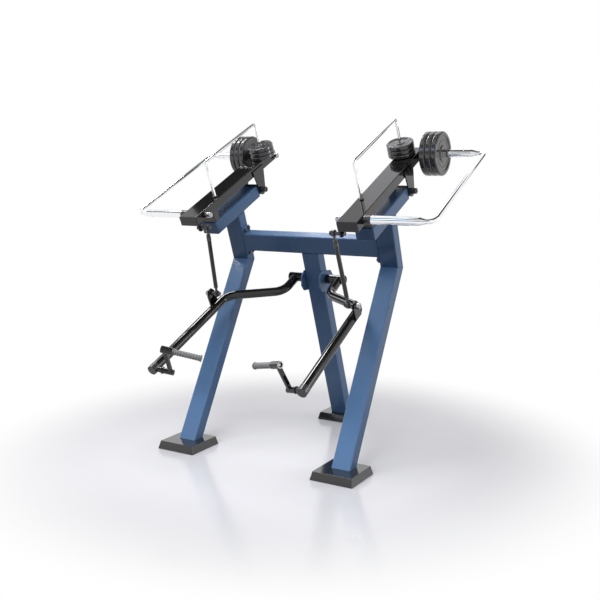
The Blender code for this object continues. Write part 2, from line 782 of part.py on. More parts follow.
def build_arm_hub(side):
    bore = AXLE_R + RUN_FIT
    cap = HUB_OUT - HUB_CAP
    profile = [(HUB_IN, bore), (HUB_IN, HUB_R), (HUB_OUT - 0.003, HUB_R), (HUB_OUT, HUB_R - 0.003),
               (HUB_OUT, 0.0),
               (cap, 0.0), (cap, bore), (HUB_IN, bore)]
    hub = turned(AXLE, X, profile, side)
    node(hub, label("arm_hub", side), (BLACK, 0.0, 0.15), mirrored(AXLE, side))


def build_arm_ear(side):
    tip = Vector(ARM_TIP)
    along = Vector((0.0, tip.y - ARM_BEND_2[1], tip.z - ARM_BEND_2[2])).normalized()
    up = Vector((0.0, along.z, -along.y))
    base = Vector((EAR_X, P_Y, P_Z))
    drop = (base - tip).dot(up)
    a = EAR_HALF
    c = 0.022
    outline = ((-a, -drop), (a, -drop), (a, EAR_TOP - c - 0.010), (a - c, EAR_TOP), (c - a, EAR_TOP),
               (-a, EAR_TOP - c - 0.010))
    ear = plate(base, along, up, X, outline, EAR_T, side)
    cut(ear, pipe(arm_path(), ARM_R + GAP, side, 0.0, 18))
    cut(ear, rod(base - X * 0.010, base + X * 0.030, PIVOT_BOLT_R + GAP, side))
    node(ear, label("arm_ear", side), (BLACK, 0.0, 0.2), mirrored(base, side))


# Handle

def swivel_point():
    tip = Vector(ARM_TIP)
    back = (Vector(ARM_BEND_2) - tip).normalized()
    return tip + back * SWIVEL_FROM_TIP


def holder_point():
    """Middle of the holder, at the top of the link."""
    return swivel_point() + SWIVEL * LINK_AT + LINK


def build_handle_stub(side):
    joint = swivel_point()
    start = ARM_R * 0.6
    ring_start, ring_end = STUB_RING
    profile = [(start, 0.0), (start, NECK_R), (ring_start, NECK_R), (ring_start, STUB_RING_R),
               (ring_end, STUB_RING_R),
               (ring_end, STUB_R), (SWIVEL_END - 0.006, STUB_R), (SWIVEL_END - 0.006, 0.0)]
    stub = turned(joint, SWIVEL, profile, side)
    cut(stub, pipe(arm_path(), ARM_R + GAP, side, 0.0, 18))
    node(stub, label("handle_stub", side), (BLACK, 0.0, 0.3), mirrored(joint, side))


def build_handle_link(side):
    joint = swivel_point()
    start = STUB_RING[1] + GAP
    bore = STUB_R + RUN_FIT
    swivel = [(start, bore), (start, SWIVEL_R), (SWIVEL_END - 0.002, SWIVEL_R),
              (SWIVEL_END, SWIVEL_R - 0.002),
              (SWIVEL_END, 0.0), (SWIVEL_END - 0.005, 0.0), (SWIVEL_END - 0.005, bore), (start, bore)]
    piece = turned(joint, SWIVEL, swivel, side)
    a = LINK_T / 2
    b = LINK_W / 2
    low = joint + SWIVEL * LINK_AT
    along = LINK.normalized()
    across = (SWIVEL - along * SWIVEL.dot(along)).normalized()
    ends = (SWIVEL_R * 0.78, LINK.length - HOLDER_R * 0.72)
    bar = block(low, across, along.cross(across), along, ((-a, a), (-b, b), ends), side)
    t0, t1 = HOLDER_T
    end = GRIP_END - 0.010
    holder = [(t0 + HOLDER_DEPTH, 0.0), (t0 + HOLDER_DEPTH, HOLDER_BORE), (t0, HOLDER_BORE),
              (t0, HOLDER_R - 0.002),
              (t0 + 0.002, HOLDER_R), (t1 - 0.002, HOLDER_R), (t1, HOLDER_R - 0.002), (t1, GRIP_SHAFT_R),
              (end, GRIP_SHAFT_R), (end, 0.0)]
    join(piece, bar, turned(holder_point(), GRIP, holder, side))
    node(piece, label("handle_link", side), (BLACK, 0.0, 0.25), mirrored(joint, side))


def build_grip(side):
    axis = holder_point()
    start = HOLDER_T[1] + GAP
    bore = GRIP_SHAFT_R + RUN_FIT
    floor = GRIP_END - 0.006
    neck = GRIP_END - 0.012
    profile = [(start, bore), (start, GRIP_FLANGE_R), (start + 0.006, GRIP_FLANGE_R),
               (start + 0.009, GRIP_R),
               (neck - 0.003, GRIP_R), (neck, GRIP_FLANGE_R), (GRIP_END - 0.002, GRIP_FLANGE_R),
               (GRIP_END, GRIP_FLANGE_R - 0.003), (GRIP_END, 0.0), (floor, 0.0), (floor, bore),
               (start, bore)]
    grip = turned(axis, GRIP, profile, side)
    node(grip, label("grip", side), (GREY, 0.0, 0.6), mirrored(axis, side))


def centre_on_origin():
    """Move every piece so the footprint is centred and the shoes stand on z = 0."""
    points = [thing.location + vert.co for thing in made for vert in thing.data.vertices]
    low_y = min(p.y for p in points)
    high_y = max(p.y for p in points)
    shift = Vector((0.0, -(low_y + high_y) / 2, 0.0))
    for thing in made:
        thing.location += shift
    print("shift", [round(c, 5) for c in shift])
    for name, point in (("axle", AXLE), ("pivot", PIVOT), ("upper eye", on_box(Q_X, Q_AHEAD, Q_UP)),
                        ("swivel", swivel_point()),
                        ("grip", holder_point())):
        print(name, [round(c, 5) for c in point + shift])
    print("swivel axis", [round(c, 6) for c in SWIVEL], "grip axis", [round(c, 6) for c in GRIP])
    print("normal", [round(c, 6) for c in E_N])


def build_frame():
    build_shoe("shoe_left", -SIDE_X, SHOE / 2)
    build_shoe("shoe_right", SIDE_X, SHOE / 2)
    build_shoe("shoe_rear", 0.0, KNEE.y + KNEE_Z * tan(UPRIGHT_TILT) + REAR_SHOE_BACK)
    build_cross_beam()
    build_rear_leg()
    build_arm_axle()
    for side in (-1, 1):
        build_leg(side)
        build_upright(side)
        build_top_beam(side)
        build_flange(side)
        build_bumper(side)


def build_lever(side):
    build_lever_box(side)
    build_fork(side, "fork_inner", SIDE_X - BOX_W / 2 - GAP - FORK_T)
    build_fork(side, "fork_outer", SIDE_X + BOX_W / 2 + GAP)
    build_lever_pin(side)
    build_rod_lug(side)
    build_outer_rail(side)
    build_upper_rail(side)
    build_upper_bolt(side)
    for number in range(1, DISC_COUNT + 1):
        build_big_disc(side, number)
        build_small_disc(side, number)


def build_arm(side):
    build_arm_tube(side)
    build_arm_hub(side)
    build_arm_ear(side)
    build_lower_bolt(side)
    build_handle_stub(side)
    build_handle_link(side)
    build_grip(side)


def main():
    clear_scene()
    build_frame()
    for side in (-1, 1):
        build_lever(side)
        build_rod(side)
        build_arm(side)
    centre_on_origin()


main()
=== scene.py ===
import json
from math import atan2, cos, pi, radians, sin, tan

import bmesh
import bpy
from bpy.props import FloatProperty, FloatVectorProperty, IntProperty, PointerProperty
from mathutils import Matrix, Vector


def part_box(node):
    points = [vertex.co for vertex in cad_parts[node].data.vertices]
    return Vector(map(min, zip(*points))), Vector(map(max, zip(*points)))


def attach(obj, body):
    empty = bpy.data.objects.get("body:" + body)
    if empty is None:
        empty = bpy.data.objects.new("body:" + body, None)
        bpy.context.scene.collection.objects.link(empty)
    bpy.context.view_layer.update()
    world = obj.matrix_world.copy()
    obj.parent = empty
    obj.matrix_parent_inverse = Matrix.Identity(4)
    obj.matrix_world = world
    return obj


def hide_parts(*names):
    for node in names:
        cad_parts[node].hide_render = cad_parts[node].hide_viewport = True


bl_info = {
    "name": "Standing biceps machine",
    "version": (1, 0, 0),
    "blender": (4, 5, 0),
    "location": "View3D > Sidebar > Gym",
    "description": "Finished pieces, paint and stage of a standing biceps machine",
    "category": "Object",
}

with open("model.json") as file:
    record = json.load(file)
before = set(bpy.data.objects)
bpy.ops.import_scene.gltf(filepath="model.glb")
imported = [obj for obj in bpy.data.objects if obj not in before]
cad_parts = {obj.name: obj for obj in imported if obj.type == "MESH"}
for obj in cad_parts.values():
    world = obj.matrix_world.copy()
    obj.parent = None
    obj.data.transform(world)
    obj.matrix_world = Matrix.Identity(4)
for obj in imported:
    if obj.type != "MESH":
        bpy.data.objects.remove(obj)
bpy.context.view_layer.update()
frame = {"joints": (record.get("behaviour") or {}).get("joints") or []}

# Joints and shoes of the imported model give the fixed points
JOINTS = {joint["name"]: joint for joint in frame["joints"]}


def joint_point(name):
    return Vector(JOINTS[name]["pos_m"])


def joint_axis(name):
    return Vector(JOINTS[name]["axis"]).normalized()


X = Vector((1.0, 0.0, 0.0))
Y = Vector((0.0, 1.0, 0.0))
Z = Vector((0.0, 0.0, 1.0))
PIVOT = joint_point("lever_tilt_right") * (Y + Z)
AXLE = joint_point("arm_lift_right") * (Y + Z)
TOP_EYE = joint_point("rod_swing_right")
SWIVEL_POINT = joint_point("handle_swivel_right")
GRIP_POINT = joint_point("grip_spin_right")
SWIVEL = joint_axis("handle_swivel_right")
GRIP = joint_axis("grip_spin_right")
BOX_UP = joint_axis("small_slide_1_right")
BOX_AHEAD = X.cross(BOX_UP)
FRONT_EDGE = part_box("shoe_left")[0].y
SHOE_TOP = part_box("shoe_left")[1].z
SHOES = ("shoe_left", "shoe_right", "shoe_rear")
SIDES = (-1, 1)
DISCS_EACH = 3

# Modelling
GAP = 0.0003
ROUND = 56
STRAIGHT = 1.53
CORNER_SHARE = 0.40
FLAT_START = 1.25
HEX_EDGE = 0.12
MERGE = 0.000002
SMOOTH = 38.0
GRIP_SMOOTH = 60.0

# Frame tubes
TUBE = (0.120, 0.080)
TUBE_CORNER = 0.008
BOX_CORNER = 0.004
SIDE_X = 0.548
LEG_TILT = radians(29.5)
UPRIGHT_TILT = radians(20.0)
KNEE_Z = 1.1412
TUBE_IN_SHOE = 0.004
CROSS_UP = 0.137
CROSS_H = 0.120
FLANGE_T = 0.012
FLANGE_H = 0.200
FLANGE_CORNER = 0.016
BOLT_SPACING = (0.046, 0.164)
BEAM_HALF = 0.040
BEAM_ENDS = (0.034, 0.563)
BEAM_CAP_T = 0.006
BEAM_CAP_CORNER = 0.007
PIVOT_TUBE_R = 0.033
AXLE_R = 0.020
AXLE_END = 0.196
LUG_T = 0.010
LUG_Y = (-0.0905, 0.0865)
LUG_Z = (-0.079, 0.054)
LUG_CHAMFER = 0.034
LUG_CORNER = 0.002
LUG_EDGE = 0.0012

# Shoes
SHOE = 0.270
SHOE_INSET = 0.012
SHOE_LIP = 0.0012
SHOE_SKIRT = 0.004
SHOE_RIM = 0.0022
SHOE_FLAT = 0.030
SHOE_CORNER = 0.004

# Lever
BOX_W = 0.128
BOX_HALF = BOX_W / 2
BOX_ENDS = (-0.265, 0.738)
BOX_LAYER = (0.112, 0.172)
SEAM = (0.0055, 0.0042)
SEAM_DEPTH = 0.005
FORK_T = 0.008
FORK_ENDS = (-0.078, 0.062)
FORK_TOP = 0.152
FORK_TIP_R = 0.035
FORK_CORNER = 0.006
FORK_BLEND = 0.30
PIN_R = 0.0125
PIN_HEAD_R = 0.0185
PIN_HEAD_L = 0.030
PIN_WASHER_T = 0.003
PIN_SOCKET = 0.005
BUMPER_ENDS = (0.506, 0.555)
BUMPER_W = 0.110
BUMPER_CORNER = 0.005
BUMPER_EDGE = 0.002
ROD_LUG_T = 0.012
ROD_LUG_R = 0.023

# Rails and discs
RAIL_UP = (BOX_LAYER[0] + BOX_LAYER[1]) / 2
RAIL_ENDS = (0.645, -0.232)
RAIL_BENDS = (0.0, 0.045, 0.035, 0.0)
RAIL_R = 0.014
RAIL_X = 1.025
COLLAR_R = 0.026
REAR_COLLAR_R = 0.032
COLLAR_L = 0.046
REAR_COLLAR_L = 0.036
SLEEVE_R = 0.025
SLEEVE_END = 0.889
SLEEVE_TIP = 0.940
SLEEVE_TAPER = 0.970
SLEEVE_GROOVE = 0.004
SLEEVE_STEP = 0.0008
NUT_R = 0.0185
NUT_BASE = 0.016
NUT_LENGTHS = (0.048, 0.036)
TOP_RAIL_X = 0.517
TOP_RAIL_UP = 0.410
TOP_RAIL_ENDS = (-0.156, 0.462)
TOP_RAIL_BENDS = (0.0, 0.020, 0.020, 0.0)
TOP_RAIL_R = 0.010
TOP_RAIL_SINK = 0.010
FOOT_RING_R = 0.0130
FOOT_RING_H = 0.008
BIG_R = 0.137
BIG_PITCH = 0.038
BIG_COUNT = 96
SMALL_R = 0.0855
SMALL_PITCH = 0.028
SMALL_COUNT = 80

# Connecting rod
EYE_R = 0.0205
EYE_W = 0.021
EYE_HALF = 0.0085
EYE_BORE = 0.0128
BALL_R = 0.0145
BALL_FACE_R = 0.0105
BALL_BORE = 0.0085
ROD_R = 0.013
ROD_THIN_R = 0.008
ROD_THIN_START = (0.014, 0.024)
ROD_THIN_TOP = 0.055
ROD_THIN_LOW = 0.050
LOCK_NUT = (0.013, 0.001)
FERRULE = (0.002, 0.026)
FERRULE_R = ROD_R + 0.0012
NUT_SIDE_R = 0.0135
NUT_L = 0.017
HEAD_L = 0.014
WASHER_R = 0.0175
WASHER_T = 0.002
WASHER_EDGE = 0.0004
BOLT_HOLE = 0.007
CAP_HEAD_L = 0.024
CAP_SOCKET = 0.004
LOW_EYE_X = 0.469
ROD_COUNT = 40

# Arm and handle
HUB_R = 0.030
HUB_ENDS = (0.075, 0.204)
HUB_PLAY = 0.0004
HUB_GROOVE = (0.016, 0.0135)
HUB_DISH = 0.003
ARM_R = 0.0285
ARM_CAP_R = ARM_R + 0.0014
ARM_CAP_ENDS = (-0.045, 0.0016)
EAR_X = 0.509
EAR_T = 0.014
EAR_HALF = 0.037
EAR_TOP = 0.028
EAR_CHAMFER = (0.022, 0.010)
EAR_EDGE = 0.0014
NECK_R = 0.0165
STUB_RING_R = 0.0215
STUB_RING = (0.049, 0.060)
SWIVEL_R = 0.0175
SWIVEL_END = 0.1245
LINK_AT = 0.105
LINK_SIZE = (0.020, 0.025)
LINK_CORNER = 0.0035
HOLDER_R = 0.0215
HOLDER_ENDS = (-0.022, 0.048)
HOLDER_BORE = 0.0135
HOLDER_DEPTH = 0.018
HOLDER_NUT_R = 0.0092
HANDLE_COUNT = 48
GRIP_R = 0.0165
GRIP_END = 0.219
GRIP_FLANGE_R = 0.0205
GRIP_FLANGE_T = 0.007

# Stage
FLOOR_R = 14.0
FLOOR_DROP = 0.0005
FLOOR_FADE = (1.1, 2.1)
CARD_AIM = Vector((0.0, 0.0, 1.3))
WHITE = (1.0, 1.0, 1.0)
# Name, place, aim, size, its power's setting, spread in degrees, whether gloss mirrors it
LAMPS = (
    ("key lamp", (-4.3, -0.5, 5.1), (0.0, 0.0, 1.1), (2.0, 2.4), "key_power", 180.0, False),
    ("top lamp", (-0.2, -1.4, 5.8), (0.1, -0.4, 0.4), (4.8, 3.4), "top_power", 180.0, False),
    ("front lamp", (0.2, -3.0, 1.6), (0.0, -0.6, 0.25), (2.4, 0.5), "front_power", 40.0, False),
    ("rim lamp", (6.0, 2.8, 1.8), (0.0, 0.0, 1.2), (2.2, 3.0), "rim_power", 180.0, True),
)
# Name, place, size, and red, green and blue strength where the card glows
CARDS = (
    ("card ceiling", (1.6, 0.0, 8.0), (8.0, 9.0), None),
    ("glow back left", (-1.3, 4.1, 6.4), (2.6, 2.2), (1.5, 1.5, 1.55)),
    ("glow low left", (-3.2, 4.9, 5.2), (0.9, 1.3), (6.0, 6.0, 6.2)),
    ("card back right", (3.2, 5.0, 4.15), (1.5, 2.9), None),
    ("glow high left", (-2.7, 1.5, 6.6), (1.2, 1.2), (24.0, 24.0, 24.5)),
    ("glow left", (-6.2, 0.2, 3.8), (3.0, 2.8), (3.4, 3.4, 3.5)),
    ("glow key", (-3.9, 0.4, 6.0), (0.8, 0.8), (20.0, 20.0, 20.5)),
    ("card far", (-4.7, 4.0, 6.1), (1.7, 1.9), None),
    ("glow front", (-2.9, -5.7, 4.4), (2.2, 1.3), (1.6, 2.4, 3.4)),
    ("card front high", (-3.6, -6.4, 7.4), (13.0, 3.0), None),
    ("card front low", (-1.2, -7.2, 2.4), (9.0, 2.0), None),
)

LEG_DIR = Vector((0.0, sin(LEG_TILT), cos(LEG_TILT)))
LEG_BACK = Vector((0.0, cos(LEG_TILT), -sin(LEG_TILT)))
UP_DIR = Vector((0.0, -sin(UPRIGHT_TILT), cos(UPRIGHT_TILT)))
UP_BACK = Vector((0.0, cos(UPRIGHT_TILT), sin(UPRIGHT_TILT)))
FOOT = (Z * (SHOE_TOP - TUBE_IN_SHOE), Z)


def laid_out(x, y, z):
    """Point measured from the front edge of the front shoes."""
    return Vector((x, y + FRONT_EDGE, z))


KNEE = laid_out(0.0, SHOE / 2 + KNEE_Z * tan(LEG_TILT), KNEE_Z)
LOW_EYE = laid_out(LOW_EYE_X, 0.353, 0.955)
ARM_CORNERS = (Vector((0.160, AXLE.y, AXLE.z)), laid_out(0.166, 0.675, 0.955),
               laid_out(0.482, 0.478, 0.925), laid_out(0.507, -0.246, 0.572))
ARM_BENDS = (0.0, 0.115, 0.115, 0.0)


def on_box(x, ahead, up):
    """Point given in the sloping frame of the lever box."""
    return PIVOT + X * x + BOX_AHEAD * ahead + BOX_UP * up


# Settings a user would change

def colour_setting(name, description, default):
    return FloatVectorProperty(name=name, description=description, subtype="COLOR", size=3,
                               min=0.0, max=1.0, default=default)


def length_setting(name, description, default):
    return FloatProperty(name=name, description=description, default=default, min=0.0,
                         unit="LENGTH", subtype="DISTANCE", precision=4)


def number_setting(name, description, default, **limits):
    return FloatProperty(name=name, description=description, default=default, **limits)


class MachineColours(bpy.types.PropertyGroup):
    """Colours of the machine's finishes."""
    paint: colour_setting("Frame paint", "Blue paint of the frame tubes", (0.058, 0.138, 0.290))
    gloss: colour_setting("Gloss black", "Paint of the lever boxes and arms", (0.006, 0.006, 0.0065))
    chrome: colour_setting("Chrome", "Plating of the rails", (0.88, 0.885, 0.90))
    iron: colour_setting("Disc enamel", "Enamel of the weight discs", (0.038, 0.038, 0.041))
    zinc: colour_setting("Zinc", "Plating of bolts and washers", (0.42, 0.42, 0.43))
    steel: colour_setting("Dark steel", "Blackened steel of pins and rod ends", (0.045, 0.045, 0.048))
    shoe: colour_setting("Shoe", "Moulded foot covers", (0.012, 0.012, 0.0124))
    rubber: colour_setting("Bumper", "Rubber of the bumpers", (0.030, 0.030, 0.032))
    grip: colour_setting("Grip", "Ribbed hand grips", (0.175, 0.175, 0.180))


class MachineSizes(bpy.types.PropertyGroup):
    """Sizes of the small details."""
    edge: length_setting("Edge", "Broken edge of plates and tube ends", 0.0010)
    rim: number_setting("Disc rim", "Rounding of a disc's rim as a part of its thickness", 0.46,
                        min=0.1, max=0.48)
    rib_pitch: length_setting("Rib pitch", "Distance between the ribs of a grip", 0.0155)
    rib_height: length_setting("Rib height", "How far a rib stands out of the grip", 0.0022)
    bolt_radius: length_setting("Bolt head", "Corner radius of the flange bolts' heads", 0.0105)
    bolt_height: length_setting("Bolt height", "Height of the flange bolts' heads", 0.0080)
    washer_radius: length_setting("Washer", "Radius of the flange bolts' washers", 0.0120)
    bend_steps: IntProperty(name="Bend steps", description="Points along each bend of a tube",
                            default=18, min=3, max=48)


class StageSettings(bpy.types.PropertyGroup):
    """Floor, lamps and camera."""
    floor: colour_setting("Floor", "Colour of the floor round the machine", (0.65, 0.65, 0.688))
    key_power: number_setting("Key lamp", "Power of the large lamp in watts", 40.0, min=0.0)
    top_power: number_setting("Top lamp", "Power of the large lamp overhead in watts", 300.0, min=0.0)
    front_power: number_setting("Front lamp", "Power of the narrow lamp on the legs", 5.0, min=0.0)
    rim_power: number_setting("Rim lamp", "Power of the lamp behind the machine in watts", 120.0, min=0.0)
    ambient: number_setting("Ambient", "Strength of the soft light from all sides", 0.20, min=0.0)
    place: FloatVectorProperty(name="Camera", description="Place of the camera", subtype="XYZ",
                               unit="LENGTH", size=3, default=(2.688, -4.4784, 1.712))
    turn: number_setting("Turn", "Camera's turn round the vertical", radians(30.42), subtype="ANGLE")
    tilt: number_setting("Tilt", "Camera's tilt below the horizon", radians(8.42), subtype="ANGLE")
    lens: number_setting("Lens", "Focal length in millimetres", 50.71, min=1.0)
    shift: number_setting("Shift", "Small shift of the view", -0.00283)


# Materials

finishes = {}
# Painted highlight on convex edges: the pointiness range over which it fades in, and how far the colour goes
# towards white
HIGHLIGHT_POINTINESS = (0.515, 0.60)
HIGHLIGHT_WHITENING = 0.35
NOISE_RANGE = (0.3, 0.7)
COAT_ROUGHNESS = 0.08
FLOOR_DULL = 0.30
FLOOR_CLOUDS = 0.99
# Slot, colour, tone, gloss, grain and the other values that a finish takes, where the edge lightening value
# is a painted highlight
LOOKS = {
    "blue paint": ("frame_blue", "paint", (2.4, 0.05), (9.0, 0.20, 0.27), (520.0, 0.015, 0.0003),
                   {"shine": 0.22, "wear": 0.12}),
    "gloss black": ("black_paint", "gloss", (3.0, 0.15), (5.0, 0.05, 0.085), (240.0, 0.003, 0.0002),
                    {"shine": 0.55}),
    "rail chrome": ("chrome", "chrome", (6.0, 0.02), (12.0, 0.03, 0.055), (60.0, 0.002, 0.0002),
                    {"metallic": 1.0}),
    "disc enamel": ("disc_iron", "iron", (9.0, 0.10), (12.0, 0.14, 0.19), (260.0, 0.003, 0.0003),
                    {"shine": 0.80}),
    "bolt zinc": ("black_steel", "zinc", (60.0, 0.08), (50.0, 0.20, 0.28), (500.0, 0.02, 0.0002),
                  {"metallic": 1.0}),
    "dark steel": ("black_steel", "steel", (40.0, 0.12), (40.0, 0.18, 0.26), (400.0, 0.02, 0.0002),
                   {"shine": 0.7}),
    "shoe rubber": ("foot_rubber", "shoe", (12.0, 0.12), (14.0, 0.10, 0.15), (520.0, 0.02, 0.0003),
                    {"shine": 0.45, "wear": 0.08, "coat": 0.6}),
    "bumper rubber": ("bumper_rubber", "rubber", (20.0, 0.12), (20.0, 0.18, 0.26),
                      (600.0, 0.05, 0.0003), {"shine": 0.6}),
    "grip rubber": ("grip_rubber", "grip", (30.0, 0.05), (40.0, 0.38, 0.48), (700.0, 0.06, 0.0003),
                    {"shine": 0.4}),
}


def feed(tree, node, inputs):
    """Set a node's inputs, or link those that come from a socket."""
    for key, value in inputs.items():
        if isinstance(value, bpy.types.NodeSocket):
            tree.links.new(value, node.inputs[key])
        else:
            node.inputs[key].default_value = value


def wire(tree, kind, inputs=None, **settings):
    """Add a node, set its options and feed it."""
    node = tree.nodes.new(kind)
    for key, value in settings.items():
        setattr(node, key, value)
    feed(tree, node, inputs or {})
    return node


def flow(tree, kind, inputs=None, **settings):
    """Like wire, for the node's first output."""
    return wire(tree, kind, inputs, **settings).outputs[0]


def sum_up(tree, operation, *values):
    """Result of a maths node."""
    return flow(tree, "ShaderNodeMath", dict(enumerate(values)), operation=operation)


def noise(tree, place, scale, detail):
    return flow(tree, "ShaderNodeTexNoise", {"Vector": place, "Scale": scale, "Detail": detail})


def ranged(tree, value, low, high, start, end, **settings):
    """Value between low and high, moved to lie between start and end."""
    inputs = {"Value": value, "From Min": low, "From Max": high, "To Min": start, "To Max": end}
    return flow(tree, "ShaderNodeMapRange", inputs, **settings)


def mixed(tree, part, *colours):
    """Mix of two colours, each a socket or three numbers."""
    one, two = [c if isinstance(c, bpy.types.NodeSocket) else (*c, 1.0) for c in colours]
    return wire(tree, "ShaderNodeMix", {0: part, 6: one, 7: two}, data_type="RGBA").outputs[2]


def new_material(name):
    """Material with its tree, its shader and its output."""
    material = bpy.data.materials.new(name)
    material.use_nodes = True
    nodes = material.node_tree.nodes
    return material, material.node_tree, nodes["Principled BSDF"], nodes["Material Output"]


def finish(name, colour, tone, gloss, grain, metallic=0.0, shine=0.5, wear=0.0, coat=0.0):
    """Procedural finish in object space.

    tone is (scale, spread of the colour), gloss is (scale, smoothest, roughest), grain is
    (scale, strength, depth), shine is the specular level, the edge value lightens convex edges
    as a painted highlight and coat is a clear gloss layer on top.
    """
    material, tree, shader, _ = new_material(name)
    place = wire(tree, "ShaderNodeTexCoord").outputs["Object"]
    low = [part * (1.0 - tone[1]) for part in colour]
    high = [min(part * (1.0 + tone[1]), 1.0) for part in colour]
    shown = mixed(tree, noise(tree, place, tone[0], 5.0), low, high)
    # Convex edges are lightened towards white as a painted highlight
    if wear:
        point = wire(tree, "ShaderNodeNewGeometry").outputs["Pointiness"]
        light = [part + (1.0 - part) * HIGHLIGHT_WHITENING for part in colour]
        shown = mixed(tree, ranged(tree, point, *HIGHLIGHT_POINTINESS, 0.0, wear), shown, light)
    rough = ranged(tree, noise(tree, place, gloss[0], 3.0), *NOISE_RANGE, gloss[1], gloss[2])
    bump = flow(tree, "ShaderNodeBump", {"Height": noise(tree, place, grain[0], 2.0),
                                         "Strength": grain[1], "Distance": grain[2]})
    feed(tree, shader, {"Base Color": shown, "Roughness": rough, "Normal": bump, "Metallic": metallic,
                        "Specular IOR Level": shine, "Coat Weight": coat, "Coat Roughness": COAT_ROUGHNESS})
    material.diffuse_color = (*colour, 1.0)
    return material


# Shapes

def eased(points, radii, closed, steps=4):
    """2-D line whose corners are arcs, with a point close to each arc to keep the flats flat.

    radii is one number for each point, or one for all of them.
    """
    line = []
    count = len(points)
    if isinstance(radii, float):
        radii = [radii] * count
    for k in range(count):
        here = Vector(points[k])
        before = Vector(points[k - 1]) - here
        after = Vector(points[(k + 1) % count]) - here
        inner = closed or 0 < k < count - 1
        half = before.angle(after) / 2 if inner and radii[k] > 0.0 else STRAIGHT
        if half >= STRAIGHT:
            line.append(here)
            continue
        reach = min(radii[k] / tan(half), CORNER_SHARE * before.length, CORNER_SHARE * after.length)
        before.normalize()
        after.normalize()
        centre = here + (before + after).normalized() * (reach * tan(half) / sin(half))
        first = here + before * reach - centre
        last = here + after * reach - centre
        whole = first.angle(last)
        line.append(here + before * reach * FLAT_START)
        for step in range(steps + 1):
            part = step / steps
            mix = first * sin((1.0 - part) * whole) + last * sin(part * whole)
            line.append(centre + mix / sin(whole))
        line.append(here + after * reach * FLAT_START)
    return line


def arc(radius, start, end, steps):
    """Points round the origin from one angle to another."""
    turns = [start + (end - start) * k / steps for k in range(steps + 1)]
    return [(radius * cos(turn), radius * sin(turn)) for turn in turns]


def rectangle(width, depth):
    a, b = width / 2, depth / 2
    return ((a, b), (-a, b), (-a, -b), (a, -b))


def inset(outline, depth):
    """Closed outline moved inwards. The outline runs anticlockwise."""
    moved = []
    count = len(outline)
    for k in range(count):
        before = (outline[k] - outline[k - 1]).normalized()
        after = (outline[(k + 1) % count] - outline[k]).normalized()
        turn = (before + after).normalized()
        inward = Vector((-turn.y, turn.x))
        reach = depth / max(turn.dot(before), 0.3)
        moved.append(outline[k] + inward * reach)
    return moved


def anticlockwise(outline):
    area = sum(outline[k - 1].cross(outline[k]) for k in range(len(outline)))
    return outline if area > 0.0 else outline[::-1]


def skin(bm, loops):
    """Faces between neighbouring loops. A loop of one point closes to a tip."""
    for one, two in zip(loops, loops[1:]):
        count = max(len(one), len(two))
        for k in range(count if count > 1 else 0):
            m = (k + 1) % count
            corners = [one[k % len(one)], one[m % len(one)], two[m % len(two)], two[k % len(two)]]
            bm.faces.new(list(dict.fromkeys(corners)))


def closed_skin(bm, loops):
    """Skin with a face over the first and the last loop."""
    skin(bm, loops)
    bm.faces.new(loops[0])
    bm.faces.new(loops[-1])


def around(bm, centre, u, v, radius, count):
    """Loop of points on a circle, or its centre where the radius is nought."""
    if radius < 0.00001:
        return [bm.verts.new(centre)]
    turns = [2.0 * pi * k / count for k in range(count)]
    return [bm.verts.new(centre + u * radius * cos(t) + v * radius * sin(t)) for t in turns]


def side_axes(direction):
    """Two directions square to the given one."""
    helper = Z if abs(direction.z) < 0.9 else Y
    u = direction.cross(helper).normalized()
    return u, direction.cross(u).normalized()


def turned(bm, base, axis, profile, count=ROUND, bored=False):
    """Turn (distance, radius, rounding) points round an axis, or a closed profile round a bore."""
    line = eased([point[:2] for point in profile], [sum(point[2:]) for point in profile], bored)
    u, v = side_axes(axis)
    loops = [around(bm, base + axis * p.x, u, v, p.y, count) for p in line]
    skin(bm, loops + loops[:1] if bored else loops)


def spindle(bm, base, axis, profile, count=ROUND):
    """Like turned, with both ends closed."""
    turned(bm, base, axis, ((profile[0][0], 0.0), *profile, (profile[-1][0], 0.0)), count)


def hexagon(bm, base, axis, low, high, radius):
    """Nut or bolt head with turned corners."""
    u, v = side_axes(axis)
    edge = radius * HEX_EDGE
    levels = ((low, radius - edge), (low + edge * 0.6, radius), (high - edge * 0.6, radius),
              (high, radius - edge))
    closed_skin(bm, [around(bm, base + axis * t, u, v, r, 6) for t, r in levels])


def stack(bm, outlines, place):
    """Close a pile of equal outlines, each given with its height."""
    closed_skin(bm, [[bm.verts.new(place(p.x, p.y, height)) for p in outline]
                     for outline, height in outlines])


def plate(bm, base, u, v, w, outline, radii, thickness, edge=0.0):
    """Flat plate with rounded corners and broken edges."""
    edge = edge or bpy.context.scene.machine_sizes.edge
    full = anticlockwise(eased(outline, radii, True, 6))
    small = inset(full, edge)
    pile = ((small, 0.0), (full, edge), (full, thickness - edge), (small, thickness))
    stack(bm, pile, lambda a, b, c: base + u * a + v * b + w * c)


def meet(point, direction, plane):
    """Where a line through the point crosses a (point, normal) plane."""
    origin, normal = plane
    return point + direction * ((origin - point).dot(normal) / direction.dot(normal))


def square_tube(bm, base, direction, u, v, size, start, end, corner=TUBE_CORNER):
    """Rectangular tube with round corners between two planes."""
    edge = bpy.context.scene.machine_sizes.edge
    full = eased(rectangle(*size), corner, True, 6)
    small = inset(full, edge)
    loops = []
    for outline, plane, move in ((small, start, 0.0), (full, start, edge), (full, end, -edge),
                                 (small, end, 0.0)):
        ends = [meet(base + u * p.x + v * p.y, direction, plane) + direction * move for p in outline]
        loops.append([bm.verts.new(p) for p in ends])
    closed_skin(bm, loops)


def bar(bm, low, high, u, v, size, corner):
    """Straight bar with round corners between two points."""
    line = (high - low).normalized()
    square_tube(bm, low, line, u, v, size, (low, line), (high, line), corner)


def sloping_tube(bm, base, low, high, size, corner=TUBE_CORNER):
    """Tube along the lever box, between two distances from the pivot."""
    start, end = [(on_box(0.0, ahead, 0.0), BOX_AHEAD) for ahead in (low, high)]
    square_tube(bm, base, BOX_AHEAD, X, BOX_UP, size, start, end, corner)


